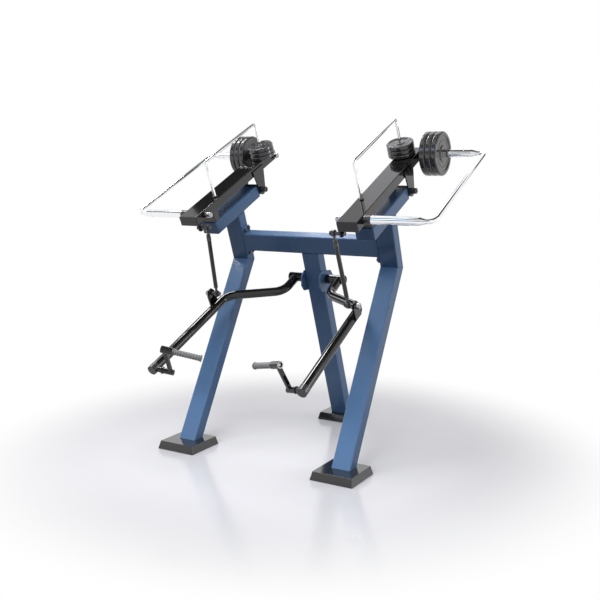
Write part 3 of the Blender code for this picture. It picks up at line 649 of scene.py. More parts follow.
def sloping_bar(bm, base, low, high, size, corner):
    """Bar along the lever box, between two distances from the base."""
    bar(bm, base + BOX_AHEAD * low, base + BOX_AHEAD * high, X, BOX_UP, size, corner)


def new_object(name, data):
    """Put a mesh, lamp or camera into the scene."""
    thing = bpy.data.objects.new(name, data)
    bpy.context.scene.collection.objects.link(thing)
    return thing


def new_mesh(bm, name):
    """Turn the faces into a mesh and free them."""
    mesh = bpy.data.meshes.new(name)
    bm.to_mesh(mesh)
    bm.free()
    return mesh


def piece(name, look, body, side, node, *shapes, smooth=SMOOTH):
    """Make a piece of right-hand shapes, mirror it for the left side and let it ride on its body.

    Each shape is a function with what it takes after the mesh.
    """
    bm = bmesh.new()
    for make, *given in shapes:
        make(bm, *given)
    if side < 0:
        for vert in bm.verts:
            vert.co.x = -vert.co.x
    bmesh.ops.remove_doubles(bm, verts=bm.verts, dist=MERGE)
    bmesh.ops.recalc_face_normals(bm, faces=bm.faces)
    if side:
        ending = "_right" if side > 0 else "_left"
        name += ending
        node += ending
        body += "" if body == "frame" else ending
    mesh = new_mesh(bm, name)
    mesh.polygons.foreach_set("use_smooth", [True] * len(mesh.polygons))
    mesh.set_sharp_from_angle(angle=radians(smooth))
    mesh.materials.append(finishes[look])
    thing = new_object(name, mesh)
    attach(thing, body)
    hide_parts(node)


# Geometry Nodes

def new_tree(name, sizes):
    """Empty tree with named inputs, and the outputs of its input node."""
    tree = bpy.data.node_groups.new(name, "GeometryNodeTree")
    tree.interface.new_socket("Geometry", in_out="INPUT", socket_type="NodeSocketGeometry")
    for title, value in sizes.items():
        kind = "NodeSocketInt" if isinstance(value, int) else "NodeSocketFloat"
        tree.interface.new_socket(title, in_out="INPUT", socket_type=kind).default_value = value
    tree.interface.new_socket("Material", in_out="INPUT", socket_type="NodeSocketMaterial")
    tree.interface.new_socket("Geometry", in_out="OUTPUT", socket_type="NodeSocketGeometry")
    return tree, tree.nodes.new("NodeGroupInput").outputs


def geometry(tree, kind, settings=None, **inputs):
    """Geometry node by its short name, with its inputs' names joined by underscores."""
    inputs = {title.replace("_", " "): value for title, value in inputs.items()}
    return flow(tree, "GeometryNode" + kind, inputs, **(settings or {}))


def close_tree(tree, given, shape):
    """Realize the shape, give it its material and send it out."""
    real = geometry(tree, "RealizeInstances", Geometry=shape)
    painted = geometry(tree, "SetMaterial", Geometry=real, Material=given["Material"])
    wire(tree, "NodeGroupOutput", {0: painted})
    return tree


def bent_tube_tree(name):
    """A line of points becomes a tube with a bend at each point."""
    tree, given = new_tree(name, {"Radius": 0.014, "Sides": 40, "Bend Steps": 18})
    curve = geometry(tree, "MeshToCurve", Mesh=given["Geometry"])
    bend = geometry(tree, "InputNamedAttribute", {"data_type": "FLOAT"}, Name="bend")
    bent = geometry(tree, "FilletCurve", {"mode": "POLY"}, Curve=curve, Radius=bend,
                    Count=given["Bend Steps"])
    section = geometry(tree, "CurvePrimitiveCircle", Resolution=given["Sides"], Radius=given["Radius"])
    tube = geometry(tree, "CurveToMesh", Curve=bent, Profile_Curve=section, Fill_Caps=True)
    return close_tree(tree, given, tube)


def ribbed_grip_tree(name):
    """Straight sleeve with ribs that run round it."""
    tree, given = new_tree(name, {"Length": 0.15, "Radius": 0.0165, "Rib Pitch": 0.0155,
                                  "Rib Height": 0.0022})
    sleeve = geometry(tree, "MeshCylinder", {"fill_type": "NGON"}, Vertices=ROUND, Side_Segments=180,
                      Radius=given["Radius"], Depth=given["Length"])
    x, y, z = wire(tree, "ShaderNodeSeparateXYZ", {0: geometry(tree, "InputPosition")}).outputs
    phase = sum_up(tree, "MULTIPLY", sum_up(tree, "DIVIDE", z, given["Rib Pitch"]), pi)
    hump = sum_up(tree, "ABSOLUTE", sum_up(tree, "SINE", phase))
    rib = sum_up(tree, "MULTIPLY", hump, given["Rib Height"])
    flat = flow(tree, "ShaderNodeCombineXYZ", {"X": x, "Y": y})
    outward = flow(tree, "ShaderNodeVectorMath", {0: flat}, operation="NORMALIZE")
    push = flow(tree, "ShaderNodeVectorMath", {0: outward, "Scale": rib}, operation="SCALE")
    return close_tree(tree, given, geometry(tree, "SetPosition", Geometry=sleeve, Offset=push))


def bolt_rows_tree(name):
    """Hexagon heads on round washers in rows and columns."""
    tree, given = new_tree(name, {"Spacing X": 0.046, "Spacing Y": 0.164, "Head Radius": 0.0105,
                                  "Head Height": 0.008, "Washer Radius": 0.012,
                                  "Washer Height": 0.002})
    radius, height = given["Head Radius"], given["Head Height"]
    grid = geometry(tree, "MeshGrid", Size_X=given["Spacing X"], Size_Y=given["Spacing Y"],
                    Vertices_X=2, Vertices_Y=2)
    washer = geometry(tree, "MeshCylinder", Vertices=40, Radius=given["Washer Radius"],
                      Depth=given["Washer Height"])
    head = geometry(tree, "MeshCone", Vertices=6, Radius_Bottom=radius, Radius_Top=radius, Depth=height)
    crown = geometry(tree, "MeshCone", Vertices=6, Radius_Bottom=radius,
                     Radius_Top=sum_up(tree, "MULTIPLY", radius, 0.84),
                     Depth=sum_up(tree, "MULTIPLY", height, 0.18))
    rise = flow(tree, "ShaderNodeCombineXYZ", {"Z": height})
    lifted = geometry(tree, "Transform", Geometry=crown, Translation=rise)
    bolt = tree.nodes.new("GeometryNodeJoinGeometry")
    for part in (washer, head, lifted):
        tree.links.new(part, bolt.inputs[0])
    rows = geometry(tree, "InstanceOnPoints", Points=grid, Instance=bolt.outputs[0])
    return close_tree(tree, given, rows)


TREES = {"Bent tube": bent_tube_tree, "Ribbed grip": ribbed_grip_tree, "Bolt rows": bolt_rows_tree}


def grown(bm, name, look, values, place, points=(), bends=()):
    """Run a tree once, on a line of points or on nothing, and keep its result as plain faces."""
    tree = bpy.data.node_groups.get(name) or TREES[name](name)
    seed = bpy.data.meshes.new("seed")
    seed.from_pydata([tuple(p) for p in points], [(k, k + 1) for k in range(len(points) - 1)], [])
    if bends:
        seed.attributes.new("bend", "FLOAT", "POINT").data.foreach_set("value", bends)
    holder = new_object("seed", seed)
    modifier = holder.modifiers.new(name, "NODES")
    modifier.node_group = tree
    values = dict(values, Material=finishes[look])
    for item in tree.interface.items_tree:
        if item.name in values:
            modifier[item.identifier] = values[item.name]
    graph = bpy.context.evaluated_depsgraph_get()
    mesh = bpy.data.meshes.new_from_object(holder.evaluated_get(graph), depsgraph=graph)
    bpy.data.objects.remove(holder, do_unlink=True)
    bpy.data.meshes.remove(seed)
    if not mesh.polygons:
        raise RuntimeError("the tree %s made no faces" % name)
    bm.from_mesh(mesh)
    bpy.data.meshes.remove(mesh)
    bm.transform(place)


def bent_tube(points, bends, radius, name, look, body, side, node):
    """Piece of round tube with a bend at each inner point."""
    values = {"Radius": radius, "Bend Steps": bpy.context.scene.machine_sizes.bend_steps}
    piece(name, look, body, side, node,
          (grown, "Bent tube", look, values, Matrix.Identity(4), points, bends))


def frame_of(x_axis, y_axis, z_axis, origin):
    """Placing matrix from three directions and a point."""
    turn = Matrix((x_axis, y_axis, z_axis)).transposed().to_4x4()
    return Matrix.Translation(origin) @ turn


# Frame

def make_shoe(name):
    low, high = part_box(name)
    x, y = (low.x + high.x) / 2, (low.y + high.y) / 2
    line = eased(((SHOE_LIP, 0.0), (0.0, SHOE_LIP), (0.0, SHOE_SKIRT), (SHOE_INSET - 0.0005, SHOE_TOP),
                  (SHOE_INSET + SHOE_FLAT, SHOE_TOP)), (0.0, 0.0, 0.0, SHOE_RIM, 0.0), False, 5)
    pile = [(eased(rectangle(SHOE - 2 * p.x, SHOE - 2 * p.x), SHOE_CORNER, True, 5), p.y) for p in line]
    piece(name + "_cover", "shoe rubber", "frame", 0, name,
          (stack, pile, lambda a, b, c: Vector((x + a, y + b, c))))


def make_legs(side):
    base = KNEE + X * SIDE_X
    mitre = (LEG_DIR + UP_DIR).normalized()
    piece("leg_tube", "blue paint", "frame", side, "leg",
          (square_tube, base, LEG_DIR, X, LEG_BACK, TUBE, FOOT, (base - mitre * GAP / 2, mitre)))
    under = (on_box(SIDE_X, 0.0, -BEAM_HALF - GAP), BOX_UP)
    piece("upright_tube", "blue paint", "frame", side, "upright",
          (square_tube, base, UP_DIR, X, UP_BACK, TUBE, (base + mitre * GAP / 2, mitre), under))


def make_top_beam(side):
    base = on_box(SIDE_X, 0.0, 0.0)
    rear, front = BEAM_ENDS
    width, height = TUBE[0], 2 * BEAM_HALF
    half = width / 2 - 0.001
    piece("top_beam_tube", "blue paint", "frame", side, "top_beam",
          (sloping_tube, base, rear, front - BEAM_CAP_T / 2, (width, height)),
          (sloping_bar, base, front - BEAM_CAP_T, front, (width - 0.002, height - 0.002), BEAM_CAP_CORNER),
          (sloping_bar, base, 0.010, rear + 0.002, (width - 0.004, 0.052), 0.002),
          (spindle, base, X, ((-half, PIVOT_TUBE_R, 0.001), (half, PIVOT_TUBE_R, 0.001))))


def make_cross_beam():
    base = KNEE + UP_DIR * CROSS_UP
    reach = SIDE_X - TUBE[0] / 2 - FLANGE_T - 2 * GAP
    piece("cross_beam_tube", "blue paint", "frame", 0, "cross_beam",
          (square_tube, base, X, UP_BACK, UP_DIR, (TUBE[1], CROSS_H), (base - X * reach, X),
           (base + X * reach, X)))
    top = (KNEE + UP_DIR * (CROSS_UP - CROSS_H / 2 - GAP), UP_DIR)
    piece("rear_leg_tube", "blue paint", "frame", 0, "rear_leg",
          (square_tube, KNEE, UP_DIR, X, UP_BACK, TUBE, FOOT, top))


def make_flange(side):
    sizes = bpy.context.scene.machine_sizes
    base = KNEE + UP_DIR * CROSS_UP + X * (SIDE_X - TUBE[0] / 2 - FLANGE_T - GAP)
    piece("flange_plate", "blue paint", "frame", side, "flange",
          (plate, base, UP_BACK, UP_DIR, X, rectangle(TUBE[1], FLANGE_H), FLANGE_CORNER, FLANGE_T))
    values = {"Spacing X": BOLT_SPACING[0], "Spacing Y": BOLT_SPACING[1],
              "Head Radius": sizes.bolt_radius, "Head Height": sizes.bolt_height,
              "Washer Radius": sizes.washer_radius}
    place = frame_of(UP_BACK, UP_DIR, -X, base - X * 0.001)
    piece("flange_bolts", "dark steel", "frame", side, "flange",
          (grown, "Bolt rows", "dark steel", values, place))


def make_axle():
    y0, y1 = LUG_Y
    z0, z1 = LUG_Z
    c = LUG_CHAMFER
    outline = ((y0 + c, z0), (y1 - c, z0), (y1, z0 + c), (y1, z1 - c), (y1 - c, z1), (y0 + c, z1),
               (y0, z1 - c), (y0, z0 + c))
    start = TUBE[0] / 2 + GAP
    piece("axle_lugs", "blue paint", "frame", 0, "arm_axle",
          *[(plate, AXLE + way * start, Y, Z, way, outline, LUG_CORNER, LUG_T, LUG_EDGE)
            for way in (X, -X)])
    piece("axle_shaft", "dark steel", "frame", 0, "arm_axle",
          (spindle, AXLE, X, ((-AXLE_END, AXLE_R, 0.001), (AXLE_END, AXLE_R, 0.001))))


# Lever

def make_lever_box(side):
    base = on_box(SIDE_X, 0.0, RAIL_UP)
    rear, front = BOX_ENDS
    size = (BOX_W, BOX_LAYER[1] - BOX_LAYER[0])
    core = (size[0] - SEAM_DEPTH, size[1] - SEAM_DEPTH)
    piece("lever_shell", "gloss black", "lever", side, "lever_box",
          (sloping_tube, base, rear, front - SEAM[0], size, BOX_CORNER),
          (sloping_bar, base, front - 0.008, front - 0.003, core, 0.003),
          (sloping_bar, base, front - SEAM[1], front, size, BOX_CORNER))


def make_forks(side):
    rear, front = FORK_ENDS
    start = atan2(BOX_LAYER[0], rear) + pi / 2 - FORK_BLEND
    end = atan2(BOX_LAYER[0], front) - pi / 2 + FORK_BLEND + 2 * pi
    outline = [(front, FORK_TOP), (rear, FORK_TOP)] + arc(FORK_TIP_R, start, end, 24)
    radii = [FORK_CORNER] * 2 + [0.0] * 25
    for name, x in (("fork_inner", SIDE_X - BOX_HALF - GAP - FORK_T),
                    ("fork_outer", SIDE_X + BOX_HALF + GAP)):
        piece(name + "_plate", "gloss black", "lever", side, name,
              (plate, on_box(x, 0.0, 0.0), BOX_AHEAD, BOX_UP, X, outline, radii, FORK_T))
    outer = BOX_HALF + FORK_T + 2 * GAP
    far = outer + PIN_HEAD_L
    washer = PIN_HEAD_R + 0.002
    profile = ((0.0, PIN_R), (outer, PIN_R), (outer, washer, 0.0005), (outer + PIN_WASHER_T, washer, 0.0005),
               (outer + PIN_WASHER_T, PIN_HEAD_R), (far, PIN_HEAD_R, 0.0035), (far, 0.0090, 0.0006),
               (far - PIN_SOCKET, 0.0078), (far - PIN_SOCKET, 0.0))
    piece("pivot_pin", "dark steel", "lever", side, "lever_pin",
          *[(turned, on_box(SIDE_X, 0.0, 0.0), X * way, profile) for way in (1, -1)])


def make_bumper(side):
    low, high = BUMPER_ENDS
    half = BUMPER_W / 2
    outline = ((-half, low), (half, low), (half, high), (-half, high))
    piece("bumper_block", "bumper rubber", "frame", side, "bumper",
          (plate, on_box(SIDE_X, 0.0, BEAM_HALF + GAP), X, BOX_AHEAD, BOX_UP, outline, BUMPER_CORNER,
           BOX_LAYER[0] - BEAM_HALF - 2 * GAP, BUMPER_EDGE))


def make_rod_lug(side):
    top = BOX_LAYER[0] - (TOP_EYE - PIVOT).dot(BOX_UP)
    outline = [(ROD_LUG_R, top), (-ROD_LUG_R, top)] + arc(ROD_LUG_R, pi, 2 * pi, 20)
    base = Vector((SIDE_X - BOX_HALF, TOP_EYE.y, TOP_EYE.z))
    piece("lug_plate", "gloss black", "lever", side, "rod_lug",
          (plate, base, BOX_AHEAD, BOX_UP, X, outline, 0.0, ROD_LUG_T))


def make_outer_rail(side):
    front, rear = RAIL_ENDS
    places = [on_box(0.0, ahead, RAIL_UP) for ahead in RAIL_ENDS]
    points = [on_box(x, ahead, RAIL_UP) for x, ahead in
              ((SLEEVE_TIP, front), (RAIL_X, front), (RAIL_X, rear), (SLEEVE_TIP, rear))]
    bent_tube(points, RAIL_BENDS, RAIL_R, "side_rail", "rail chrome", "lever", side, "outer_rail")
    end = SIDE_X + BOX_HALF + GAP
    step = SLEEVE_END + SLEEVE_GROOVE
    groove = SLEEVE_R - 0.002
    thin = SLEEVE_R - SLEEVE_STEP
    taper = SLEEVE_TAPER + 0.006
    sleeve = ((end, 0.0), (end, SLEEVE_R), (SLEEVE_END, SLEEVE_R, 0.0012), (SLEEVE_END, groove, 0.0005),
              (step, groove, 0.0005), (step, thin, 0.001), (SLEEVE_TIP, thin, 0.004),
              (SLEEVE_TAPER, RAIL_R + 0.002, 0.003), (taper, RAIL_R + 0.002, 0.001),
              (taper, RAIL_R - 0.002))
    piece("disc_sleeves", "rail chrome", "lever", side, "outer_rail",
          *[(turned, place, X, sleeve) for place in places])
    start = SIDE_X - BOX_HALF
    shapes = []
    for place, radius, length in zip(places, (COLLAR_R, REAR_COLLAR_R), (COLLAR_L, REAR_COLLAR_L)):
        far = end + length
        shapes.append((turned, place, X, ((end, 0.0), (end, radius, 0.001), (far, radius, 0.0025),
                                          (far, SLEEVE_R - 0.001))))
    near, far = GAP - start, NUT_BASE - start
    nut = ((near, 0.0), (near, NUT_R, 0.001), (far, NUT_R, 0.0015), (far, 0.010))
    shapes += [(turned, place, -X, nut) for place in places]
    piece("rail_collars", "dark steel", "lever", side, "outer_rail", *shapes)
    shapes = []
    for place, length in zip(places, NUT_LENGTHS):
        far = length - start
        shapes.append((turned, place, -X, ((0.014 - start, NUT_R - 0.0015), (far, NUT_R - 0.0015, 0.0035),
                                           (far, 0.0))))
    piece("rail_end_caps", "bolt zinc", "lever", side, "outer_rail", *shapes)


def make_upper_rail(side):
    rear, front = TOP_RAIL_ENDS
    low = BOX_LAYER[1] - TOP_RAIL_SINK
    points = [on_box(TOP_RAIL_X, ahead, up) for ahead, up in
              ((rear, low), (rear, TOP_RAIL_UP), (front, TOP_RAIL_UP), (front, low))]
    bent_tube(points, TOP_RAIL_BENDS, TOP_RAIL_R, "thin_rail", "rail chrome", "lever", side, "upper_rail")
    piece("thin_rail_ring", "dark steel", "lever", side, "upper_rail",
          (turned, on_box(TOP_RAIL_X, front, BOX_LAYER[1]), BOX_UP,
           ((GAP, 0.0), (GAP, FOOT_RING_R, 0.001), (FOOT_RING_H, FOOT_RING_R, 0.002),
            (FOOT_RING_H, TOP_RAIL_R - 0.001))))


def disc(base, axis, radius, bore, t, count):
    """Shape with a round rim, a dished web with a ring groove, a raised hub and a chamfered bore."""
    rim = t * bpy.context.scene.machine_sizes.rim
    web = t - t * 0.16
    groove = web - 0.0022
    back = t * 0.06
    steps = ((back, 0.78, 0.001), (0.0, 0.82, 0.001), (0.0, 1.0, rim), (t, 1.0, rim),
             (t, 0.82, 0.0015), (web, 0.79, 0.002), (web, 0.63, 0.0008), (groove, 0.62, 0.0006),
             (groove, 0.60, 0.0006), (web, 0.59, 0.0008), (web, 0.40, 0.002), (t, 0.37, 0.002))
    line = [(at, radius * share, rounding) for at, share, rounding in steps]
    line = [(back, bore), *line, (t, bore + 0.003, 0.0006), (t - 0.002, bore)]
    return turned, base, axis, line, count, True


def make_discs(side):
    start = SIDE_X + BOX_HALF + 2 * GAP + REAR_COLLAR_L
    for number in range(DISCS_EACH):
        name = "big_disc_%d" % (number + 1)
        base = on_box(start + BIG_PITCH * number, RAIL_ENDS[1], RAIL_UP)
        piece("large_disc_%d" % (number + 1), "disc enamel", name, side, name,
              disc(base, X, BIG_R, SLEEVE_R + GAP, BIG_PITCH - GAP, BIG_COUNT))
        name = "small_disc_%d" % (number + 1)
        base = on_box(TOP_RAIL_X, TOP_RAIL_ENDS[0], BOX_LAYER[1] + GAP + SMALL_PITCH * number)
        piece("slim_disc_%d" % (number + 1), "disc enamel", name, side, name,
              disc(base, BOX_UP, SMALL_R, TOP_RAIL_R + GAP, SMALL_PITCH - GAP, SMALL_COUNT))


# Connecting rod

def make_rod(side):
    line = (LOW_EYE - TOP_EYE).normalized()
    a = ROD_THIN_TOP
    b = (LOW_EYE - TOP_EYE).length - ROD_THIN_LOW
    piece("rod_tube", "gloss black", "rod", side, "rod",
          (spindle, TOP_EYE, line, ((a, ROD_R, 0.002), (b, ROD_R, 0.002)), ROD_COUNT))
    eye_ring = ((-EYE_HALF, EYE_BORE), (-EYE_HALF, EYE_R, 0.002), (EYE_HALF, EYE_R, 0.002),
                (EYE_HALF, EYE_BORE))
    thin = [(at, ROD_THIN_R) for at in (*ROD_THIN_START, a + 0.004)]
    shapes = []
    for eye, way in ((TOP_EYE, line), (LOW_EYE, -line)):
        shapes += [(turned, eye, way, thin, 32), (turned, eye, X, eye_ring, 48, True),
                   (hexagon, eye, way, a - LOCK_NUT[0], a - LOCK_NUT[1], ROD_R + 0.001)]
    piece("rod_ends", "dark steel", "rod", side, "rod", *shapes)
    half = EYE_W / 2
    ball = ((-half, BALL_BORE), (-half, BALL_FACE_R), (0.0, BALL_R, 0.004), (half, BALL_FACE_R),
            (half, BALL_BORE))
    piece("rod_balls", "dark steel", "rod", side, "rod",
          *[(turned, eye, X, ball, ROD_COUNT, True) for eye in (TOP_EYE, LOW_EYE)])
    piece("rod_ferrule", "dark steel", "rod", side, "rod",
          (spindle, TOP_EYE, line, [(a + at, FERRULE_R, 0.0008) for at in FERRULE], ROD_COUNT))


def make_rod_bolts(side):
    inner = -EYE_W / 2 - GAP
    outer = EYE_W / 2 + GAP
    shank = NUT_SIDE_R - 0.002
    under_head = ((inner - WASHER_T, 0.0), (inner - WASHER_T, WASHER_R, WASHER_EDGE),
                  (inner, WASHER_R, WASHER_EDGE), (inner, BOLT_HOLE))
    for name, eye, near, far, node, body in (
            ("top_rod_bolt", TOP_EYE, SIDE_X - BOX_HALF - TOP_EYE.x, ROD_LUG_T, "rod_bolt_upper", "lever"),
            ("low_rod_bolt", LOW_EYE, EAR_X - LOW_EYE.x, EAR_T, "rod_bolt_lower", "arm")):
        far = near + far + GAP
        spacer = ((outer, BOLT_HOLE), (outer, WASHER_R, WASHER_EDGE),
                  (outer + WASHER_T, WASHER_R, WASHER_EDGE), (outer + WASHER_T, shank),
                  (near - GAP, shank), (near - GAP, 0.0))
        shapes = [(turned, eye, X, under_head, ROD_COUNT), (turned, eye, X, spacer, ROD_COUNT),
                  (hexagon, eye, X, inner - HEAD_L, inner - WASHER_T, NUT_SIDE_R + 0.0005)]
        if body == "lever":
            shapes.append((hexagon, eye, X, far, far + NUT_L, NUT_SIDE_R))
        piece(name, "dark steel", body, side, node, *shapes)
    tip = far + CAP_HEAD_L
    piece("low_bolt_head", "bolt zinc", "arm", side, "rod_bolt_lower",
          (spindle, LOW_EYE, X, ((far, WASHER_R, 0.0006), (tip, WASHER_R, 0.003), (tip, 0.0075, 0.0005),
                                 (tip - CAP_SOCKET, 0.0068)), HANDLE_COUNT))


# Arm

def make_arm(side):
    bent_tube(ARM_CORNERS, ARM_BENDS, ARM_R, "arm_bend", "gloss black", "arm", side, "arm_tube")
    tip = ARM_CORNERS[-1]
    along = (tip - ARM_CORNERS[-2]).normalized()
    start, end = ARM_CAP_ENDS
    piece("arm_end_cap", "bumper rubber", "arm", side, "arm_tube",
          (turned, tip, along, ((start, ARM_R - 0.001), (start, ARM_CAP_R, 0.0006),
                                (end, ARM_CAP_R, 0.0028), (end, 0.0))))
    low, high = HUB_ENDS
    inner = AXLE_END + 0.0005
    bore = AXLE_R + HUB_PLAY
    groove = HUB_R - 0.0015
    start, end = high - HUB_GROOVE[0], high - HUB_GROOVE[1]
    piece("arm_hub_sleeve", "gloss black", "arm", side, "arm_hub",
          (spindle, AXLE, X, ((inner, bore), (low, bore), (low, HUB_R, 0.002), (start, HUB_R, 0.0006),
                              (start, groove), (end, groove), (end, HUB_R, 0.0006), (high, HUB_R, 0.003),
                              (high, HUB_R - 0.009, 0.0006), (high - HUB_DISH, HUB_R - 0.010))))


def make_ear(side):
    along = ((ARM_CORNERS[3] - ARM_CORNERS[2]) * (Y + Z)).normalized()
    up = Vector((0.0, along.z, -along.y))
    base = Vector((EAR_X, LOW_EYE.y, LOW_EYE.z))
    drop = (base - ARM_CORNERS[3]).dot(up)
    a = EAR_HALF
    c = EAR_CHAMFER[0]
    shoulder = EAR_TOP - c - EAR_CHAMFER[1]
    outline = ((-a, -drop), (a, -drop), (a, shoulder), (a - c, EAR_TOP), (c - a, EAR_TOP), (-a, shoulder))
    piece("ear_plate", "gloss black", "arm", side, "arm_ear",
          (plate, base, along, up, X, outline, (0.0, 0.0, 0.006, 0.008, 0.008, 0.006), EAR_T, EAR_EDGE))


def make_handle(side):
    start, end = STUB_RING
    neck = ARM_R * 0.7
    piece("swivel_neck", "gloss black", "arm", side, "handle_stub",
          (spindle, SWIVEL_POINT, SWIVEL, ((neck, NECK_R), (start, NECK_R), (start, STUB_RING_R, 0.0015),
                                           (end, STUB_RING_R, 0.0015)), HANDLE_COUNT))
    tip = SWIVEL_END
    swivel = ((end + GAP, SWIVEL_R, 0.001), (tip, SWIVEL_R, 0.0025), (tip, 0.011, 0.0006),
              (tip - 0.002, 0.010))
    low = SWIVEL_POINT + SWIVEL * LINK_AT
    line = (GRIP_POINT - low).normalized()
    across = (SWIVEL - line * SWIVEL.dot(line)).normalized()
    start, end = HOLDER_ENDS
    floor = start + HOLDER_DEPTH
    holder = ((floor, HOLDER_BORE), (start, HOLDER_BORE, 0.001), (start, HOLDER_R, 0.002),
              (end, HOLDER_R, 0.002))
    piece("link_and_holder", "gloss black", "link", side, "handle_link",
          (spindle, SWIVEL_POINT, SWIVEL, swivel, HANDLE_COUNT),
          (bar, low + line * SWIVEL_R * 0.5, GRIP_POINT - line * HOLDER_R * 0.5, across,
           line.cross(across), LINK_SIZE, LINK_CORNER),
          (spindle, GRIP_POINT, GRIP, holder, HANDLE_COUNT))
    nut = ((start + 0.006, 0.0), (start + 0.006, HOLDER_NUT_R, 0.0015), (floor, HOLDER_NUT_R))
    front, back = start - 0.0008, start + 0.001
    washer = ((front, HOLDER_BORE + 0.0008), (front, HOLDER_R - 0.0015, 0.0004), (back, HOLDER_R - 0.0015),
              (back, HOLDER_BORE + 0.0008))
    piece("holder_nut", "bolt zinc", "link", side, "handle_link",
          (turned, GRIP_POINT, GRIP, nut, 32), (turned, GRIP_POINT, GRIP, washer, HANDLE_COUNT, True))


def make_grip(side):
    sizes = bpy.context.scene.machine_sizes
    start = HOLDER_ENDS[1] + GAP
    flange = GRIP_FLANGE_T
    values = {"Length": GRIP_END - start - 2 * flange, "Radius": GRIP_R - sizes.rib_height / 2,
              "Rib Pitch": sizes.rib_pitch, "Rib Height": sizes.rib_height}
    middle = GRIP_POINT + GRIP * (start + GRIP_END) / 2
    place = frame_of(*side_axes(GRIP), GRIP, middle)
    piece("grip_ribs", "grip rubber", "grip", side, "grip",
          (grown, "Ribbed grip", "grip rubber", values, place), smooth=GRIP_SMOOTH)
    profile = ((0.0, GRIP_FLANGE_R, 0.0018), (flange - 0.001, GRIP_FLANGE_R, 0.0018),
               (flange + 0.002, GRIP_R - 0.002))
    piece("grip_flanges", "grip rubber", "grip", side, "grip",
          *[(spindle, GRIP_POINT + GRIP * base, GRIP * way, profile, HANDLE_COUNT)
            for base, way in ((start, 1), (GRIP_END, -1))])


# Stage

def seen_by_eye(tree):
    """One for camera, mirror and glass rays, nought for the soft light."""
    rays = wire(tree, "ShaderNodeLightPath").outputs
    direct = sum_up(tree, "MAXIMUM", rays["Is Camera Ray"], rays["Is Glossy Ray"])
    return sum_up(tree, "MAXIMUM", direct, rays["Is Transmission Ray"])


def floor_material():
    """Pale floor that fades to white round the machine."""
    tint = bpy.context.scene.machine_stage.floor
    material, tree, shader, end = new_material("studio floor")
    place = wire(tree, "ShaderNodeTexCoord").outputs["Object"]
    seen = seen_by_eye(tree)
    cloudy = mixed(tree, noise(tree, place, 1.5, 2.0), [part * FLOOR_CLOUDS for part in tint], tint)
    shown = mixed(tree, seen, [part * FLOOR_DULL for part in tint], cloudy)
    feed(tree, shader, {"Base Color": shown, "Roughness": 0.15, "Specular IOR Level": 0.5})
    reach = wire(tree, "ShaderNodeVectorMath", {0: place}, operation="LENGTH").outputs["Value"]
    fade = ranged(tree, reach, *FLOOR_FADE, 0.0, 1.0, interpolation_type="SMOOTHSTEP")
    white = flow(tree, "ShaderNodeEmission", {"Color": (*WHITE, 1.0), "Strength": 1.0})
    part = sum_up(tree, "MULTIPLY", fade, seen)
    feed(tree, end, {"Surface": flow(tree, "ShaderNodeMixShader",
                                     {0: part, 1: shader.outputs[0], 2: white})})
    return material


def make_world(strength):
    world = bpy.data.worlds.new("soft studio")
    bpy.context.scene.world = world
    world.use_nodes = True
    tree = world.node_tree
    level = ranged(tree, seen_by_eye(tree), 0.0, 1.0, strength, 1.0)
    feed(tree, tree.nodes["Background"], {"Color": (*WHITE, 1.0), "Strength": level})


def look_along(thing, direction):
    """Turn a lamp or camera to face a direction."""
    thing.rotation_mode = "QUATERNION"
    thing.rotation_quaternion = direction.to_track_quat("-Z", "Y")


def make_lamp(name, place, aim, size, power, spread, mirrored):
    data = bpy.data.lights.new(name, "AREA")
    data.shape = "RECTANGLE"
    data.size, data.size_y = size
    data.energy = power
    data.spread = radians(spread)
    lamp = new_object(name, data)
    lamp.location = place
    lamp.visible_glossy = mirrored
    look_along(lamp, Vector(aim) - Vector(place))


def card_material(name, glow):
    """Plain light of one colour."""
    material, tree, _, end = new_material(name)
    feed(tree, end, {"Surface": flow(tree, "ShaderNodeEmission", {"Color": (*glow, 1.0),
                                                                  "Strength": 1.0})})
    return material


def make_card(name, place, size, glow):
    """Dark or glowing card that faces the machine and that only reflections see."""
    middle = Vector(place)
    u, v = side_axes((middle - CARD_AIM).normalized())
    bm = bmesh.new()
    bm.faces.new([bm.verts.new(middle + u * a + v * b) for a, b in rectangle(*size)])
    mesh = new_mesh(bm, name)
    mesh.materials.append(card_material(name, glow) if glow else finishes["bumper rubber"])
    card = new_object(name, mesh)
    card.visible_camera = False
    card.visible_diffuse = False
    card.visible_transmission = False
    card.visible_shadow = False


def make_floor():
    bm = bmesh.new()
    bmesh.ops.create_circle(bm, cap_ends=True, segments=96, radius=FLOOR_R)
    mesh = new_mesh(bm, "floor")
    mesh.materials.append(floor_material())
    floor = new_object("floor", mesh)
    floor.location.z = -FLOOR_DROP


def make_camera(stage):
    data = bpy.data.cameras.new("photo view")
    data.lens = stage.lens
    data.sensor_width = 36.0
    data.shift_x = stage.shift
    data.shift_y = stage.shift
    data.clip_end = 100.0
    camera = new_object("photo view", data)
    camera.location = stage.place
    level = Vector((-sin(stage.turn), cos(stage.turn), 0.0)) * cos(stage.tilt)
    look_along(camera, level - Z * sin(stage.tilt))
    bpy.context.scene.camera = camera


# Operators

def both_sides(*makers):
    """Make one side's pieces and then the other's."""
    for side in SIDES:
        for make in makers:
            make(side)
    return {"FINISHED"}


class GYM_OT_finishes(bpy.types.Operator):
    """Make the paints, platings and rubbers"""
    bl_idname = "gym.finishes"
    bl_label = "Finishes"

    def execute(self, context):
        for look, (_, colour, *values, others) in LOOKS.items():
            colour = getattr(context.scene.machine_colours, colour)
            finishes[look] = finish(look, colour, *values, **others)
        return {"FINISHED"}


class GYM_OT_shoes(bpy.types.Operator):
    """Make the three moulded foot covers"""
    bl_idname = "gym.shoes"
    bl_label = "Shoes"

    def execute(self, context):
        for name in SHOES:
            make_shoe(name)
        return {"FINISHED"}


